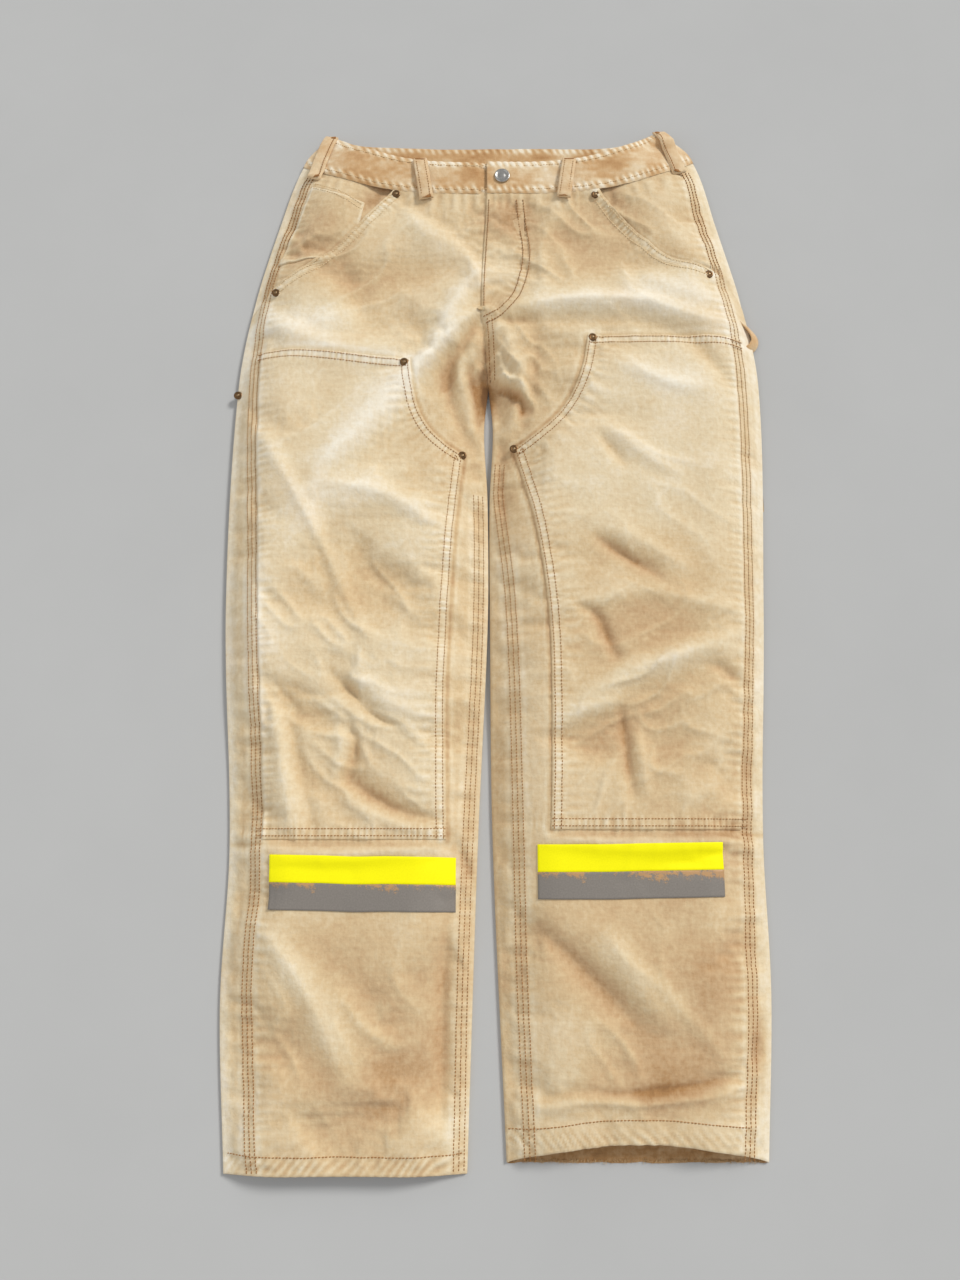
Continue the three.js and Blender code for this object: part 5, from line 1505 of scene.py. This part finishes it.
def duck(name, stops, orange, rough=0.92):
    """Washed cotton duck: the tone of wear and painted light, clouds, streaks and hue patches into a ramp;
    weave and crumple bump.
    """
    material, tree, shader = begin(name)
    lay = add(tree, "Attribute", attribute_name="lay").outputs["Vector"]
    tone = add(tree, "Attribute", attribute_name="tone").outputs["Fac"]
    for (across, along), detail, share in CLOUDS:
        scale = (1 / across, 1 / along, 1 / 30)
        stretched = add(tree, "Mapping", {"Vector": lay, "Scale": scale}).outputs["Vector"]
        cloud = {"Vector": stretched, "Scale": 1.0, "Detail": float(detail), "Roughness": 0.6}
        cloud = add(tree, "TexNoise", cloud).outputs["Fac"]
        tone = math(tree, "ADD", tone, math(tree, "MULTIPLY_ADD", cloud, share, -share / 2))
    ramp = add(tree, "ValToRGB", {"Fac": tone}, stops=stops)
    hue = add(tree, "TexNoise", {"Vector": lay, "Scale": 1 / 55, "Detail": 3.0})
    warm = math(tree, "MULTIPLY_ADD", hue.outputs["Fac"], 2.4, -1.1, clamp=True)
    faded = math(tree, "MULTIPLY", warm, orange)
    colour = mix(tree, faded, ramp.outputs["Color"], linear("#D9A873"))
    tree.links.new(colour, shader.inputs["Base Color"])
    # drawn at 1.1 mm a yarn; the true 0.6 mm would only shimmer
    yarn = {"Vector": lay, "Scale": 0.2856, "Distortion": 1.5, "Detail": 1.0}
    warp = add(tree, "TexWave", yarn, bands_direction="X")
    weft = add(tree, "TexWave", yarn, bands_direction="Y")
    weave = math(tree, "MULTIPLY", warp.outputs["Fac"], weft.outputs["Fac"])
    rough_cloth = {"Vector": lay, "Scale": 1 / 6, "Detail": 3.0, "Roughness": 0.6}
    crumpled = add(tree, "TexNoise", rough_cloth).outputs["Fac"]
    normal = relief(tree, weave, 0.35, 0.0003, relief(tree, crumpled, 0.5, 0.0016))
    tree.links.new(normal, shader.inputs["Normal"])
    shader.inputs["Roughness"].default_value = rough
    shader.inputs["Specular IOR Level"].default_value = 0.15
    shader.inputs["Sheen Weight"].default_value = 0.12
    shader.inputs["Sheen Roughness"].default_value = 0.6
    return material


LEG_STOPS = [(0.0, "#7E5A38"), (0.2, "#A98053"), (0.38, "#C4A37B"), (0.55, "#D5BB92"), (0.72, "#E2CFAC"),
             (1.0, "#F4EBD8")]
BAND_STOPS = [(0.0, "#8E6540"), (0.3, "#B78A5A"), (0.5, "#CBA475"), (0.75, "#DFC6A0"), (1.0, "#F2E6CF")]
WASHED = duck("washed duck canvas, faded brown", LEG_STOPS, 0.14)
KNEE = duck("washed duck canvas, knee layer rubbed pale", LEG_STOPS, 0.10)
BAND = duck("duck canvas of the waistband, less faded", BAND_STOPS, 0.15)
print("canvas nodes", len(WASHED.node_tree.nodes))

# %% [markdown]
# ## Thread, tape, lining and film
# Polyester-cotton thread is a little smoother than the cloth. The lime tape is a dull fluorescent weave,
# so it is given a very full colour; the silver film has worn to grey glass beads with brown cloth in the
# gaps. The lining is unbleached cotton.

# %% Small textile materials
def plain(name, colour, rough, bump=0.0, size=1.0, metal=0.0, other=None):
    """A simple finish: a colour that wanders towards another one in clouds of a size in millimetres, and
    a little bump from the same clouds."""
    material, tree, shader = begin(name)
    lay = add(tree, "Attribute", attribute_name="lay").outputs["Vector"]
    cloud = add(tree, "TexNoise", {"Vector": lay, "Scale": 1 / size, "Detail": 4.0, "Roughness": 0.65})
    sharp = math(tree, "MULTIPLY_ADD", cloud.outputs["Fac"], 2.2, -0.6, clamp=True)
    mixed = mix(tree, sharp, linear(colour), linear(other or colour))
    tree.links.new(mixed, shader.inputs["Base Color"])
    if bump:
        raised = relief(tree, cloud.outputs["Fac"], 0.6, bump / 1000)
        tree.links.new(raised, shader.inputs["Normal"])
    shader.inputs["Roughness"].default_value = rough
    shader.inputs["Metallic"].default_value = metal
    shader.inputs["Specular IOR Level"].default_value = 0.2 if not metal else 0.5
    return material


BROWN_THREAD = plain("brown sewing thread, spun polyester", "#946439", 0.75, size=3.0, other="#B0804E")
PALE_THREAD = plain("pale sewing thread, faded", "#EADBB8", 0.75, size=4.0, other="#D0AC7A")
BAND_THREAD = plain("tan sewing thread of the band", "#E9D7B0", 0.75, size=4.0, other="#C89C64")
FRAY = plain("frayed cotton yarn", "#D8BE95", 0.9, size=5.0, other="#B48A55")
LIME = plain("fluorescent lime trim, woven polyester", "#F8F000", 0.7, bump=0.25, size=1.6, other="#EDE600")
# painted glow: the fluorescent dye is given an emission, so the tape sends back more yellow light than falls
# on it
glow = LIME.node_tree.nodes["Principled BSDF"].inputs
glow["Emission Color"].default_value = linear("#F8F000")
glow["Emission Strength"].default_value = 0.10
FILM, tree, shader = begin("retroreflective film, worn through to the cloth")
lay = add(tree, "Attribute", attribute_name="lay").outputs["Vector"]
across = add(tree, "SeparateXYZ", {"Vector": lay}).outputs["Y"]
flakes = {"Vector": lay, "Scale": 1 / 5, "Detail": 6.0, "Roughness": 0.75}
chips = add(tree, "TexNoise", flakes).outputs["Fac"]
where = add(tree, "TexNoise", {"Vector": lay, "Scale": 1 / 34, "Detail": 1.0}).outputs["Fac"]
edge = math(tree, "MULTIPLY_ADD", across, 0.020, -0.98)
worn = math(tree, "ADD", math(tree, "ADD", chips, where), edge)
gone = math(tree, "MULTIPLY_ADD", worn, 9.0, -4.05, clamp=True)
beads = add(tree, "TexNoise", {"Vector": lay, "Scale": 1 / 1.5, "Detail": 2.0}).outputs["Fac"]
grey = mix(tree, beads, linear("#746D66"), linear("#8D867E"))
film = mix(tree, gone, grey, linear("#B99063"))
tree.links.new(film, shader.inputs["Base Color"])
normal = relief(tree, gone, 0.5, 0.0003, relief(tree, beads, 0.3, 0.0002))
tree.links.new(normal, shader.inputs["Normal"])
shader.inputs["Roughness"].default_value = 0.5
LINING = plain("unbleached cotton pocketing", "#D9CDB4", 0.9, bump=0.2, size=6.0, other="#CDBFA3")
TAPE = plain("cotton zip tape, brown", "#8B6236", 0.85, bump=0.2, size=2.0, other="#9A6F40")

# %% [markdown]
# ## Metal
# The rivet caps are steel plated in antique bronze, dark in the recesses and rubbed bright on the nub; the
# button is nickel with fine scratches; the zip is brass.

# %% Metal materials
BRONZE = plain("antique bronze plating, rubbed", "#5A4430", 0.42, bump=0.1, size=1.6, metal=1.0,
               other="#8A6A48")
BRIGHT = plain("rubbed bronze tack end", "#B79B78", 0.32, bump=0.05, size=1.0, metal=1.0, other="#8D7252")
NICKEL = plain("nickel plating, scratched", "#C9C7C2", 0.28, bump=0.05, size=1.4, metal=1.0, other="#9B9893")
BRASS = plain("zip brass, dull", "#A6824A", 0.38, bump=0.05, size=1.5, metal=1.0, other="#86673A")
FLOOR = plain("matt studio floor", "#BBBBBA", 0.95, size=300.0, other="#B7B7B6")

# %% Give each piece its finish
BY_SLOT = {
    "canvas": WASHED,
    "knee_patch": KNEE,
    "waistband": BAND,
    "pocket_lining": LINING,
    "zip_tape": TAPE,
    "lime_tape": LIME,
    "silver_tape": FILM,
    "zip_metal": BRASS,
    "button_metal": NICKEL,
    "rivet_metal": BRONZE,
}
THREAD = {"brown": BROWN_THREAD, "pale": PALE_THREAD, "band": BAND_THREAD, "loop": BROWN_THREAD, "fray": FRAY}
for obj in bpy.context.scene.objects:
    if obj.type != "MESH" or obj.name in frame["nodes"]:
        continue
    finish = THREAD[obj["colour"]] if "colour" in obj else BY_SLOT[obj["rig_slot"]]
    obj.data.materials.append(BRIGHT if obj.name.startswith("nub_") else finish)
BARE = ["zip_bottom_stop", "zip_top_stop_left", "zip_top_stop_right", "zip_slider", "zip_pull",
        "waist_button_tack"]
for name in BARE:
    for slot in frame["nodes"][name].material_slots:
        slot.material = NICKEL if name == "waist_button_tack" else BRASS
print("finishes given")

# %% [markdown]
# ## Floor, light and camera
# A pale matt floor, one distant soft light from the upper right so that the floor is lit evenly, a weak
# one from the left, and an even light from everywhere else. The camera looks down from over the shins.

# %% Stage
points = np.array([[-4000, -4000, 0], [4000, -4000, 0], [4000, 4000, 0], [-4000, 4000, 0]], float)
floor = add_mesh("floor", points, [[0, 1, 2, 3]])
floor.data.materials.append(FLOOR)


def add_sun(name, angle, energy, place, colour=(1.0, 1.0, 1.0)):
    """A distant light that shines from the direction of a place towards the origin."""
    lamp = bpy.data.lights.new(name, "SUN")
    lamp.angle, lamp.energy, lamp.color = angle, energy, colour
    holder = bpy.data.objects.new(name, lamp)
    holder.location = place
    holder.rotation_euler = (-holder.location).to_track_quat("-Z", "Y").to_euler()
    bpy.context.scene.collection.objects.link(holder)


add_sun("key", 0.26, 2.3, (1.15, 1.05, 1.15), (1.0, 0.99, 0.97))
add_sun("fill", 1.2, 0.5, (-1.2, -0.4, 1.0))

world = bpy.data.worlds.new("room")
world.use_nodes = True
world.node_tree.nodes["Background"].inputs["Color"].default_value = (0.97, 0.985, 1.0, 1)
world.node_tree.nodes["Background"].inputs["Strength"].default_value = 0.50
bpy.context.scene.world = world

eye = bpy.data.cameras.new("camera")
eye.lens, eye.sensor_width, eye.clip_end = 26, 36, 50
camera = bpy.data.objects.new("camera", eye)
camera.location = (-0.0210, -0.2575, 0.912)
aim = Vector((-0.0210, -0.0455, 0)) - camera.location
camera.rotation_euler = aim.to_track_quat("-Z", "Y").to_euler()
bpy.context.scene.collection.objects.link(camera)
bpy.context.scene.camera = camera
bpy.context.scene.view_settings.view_transform = "Standard"
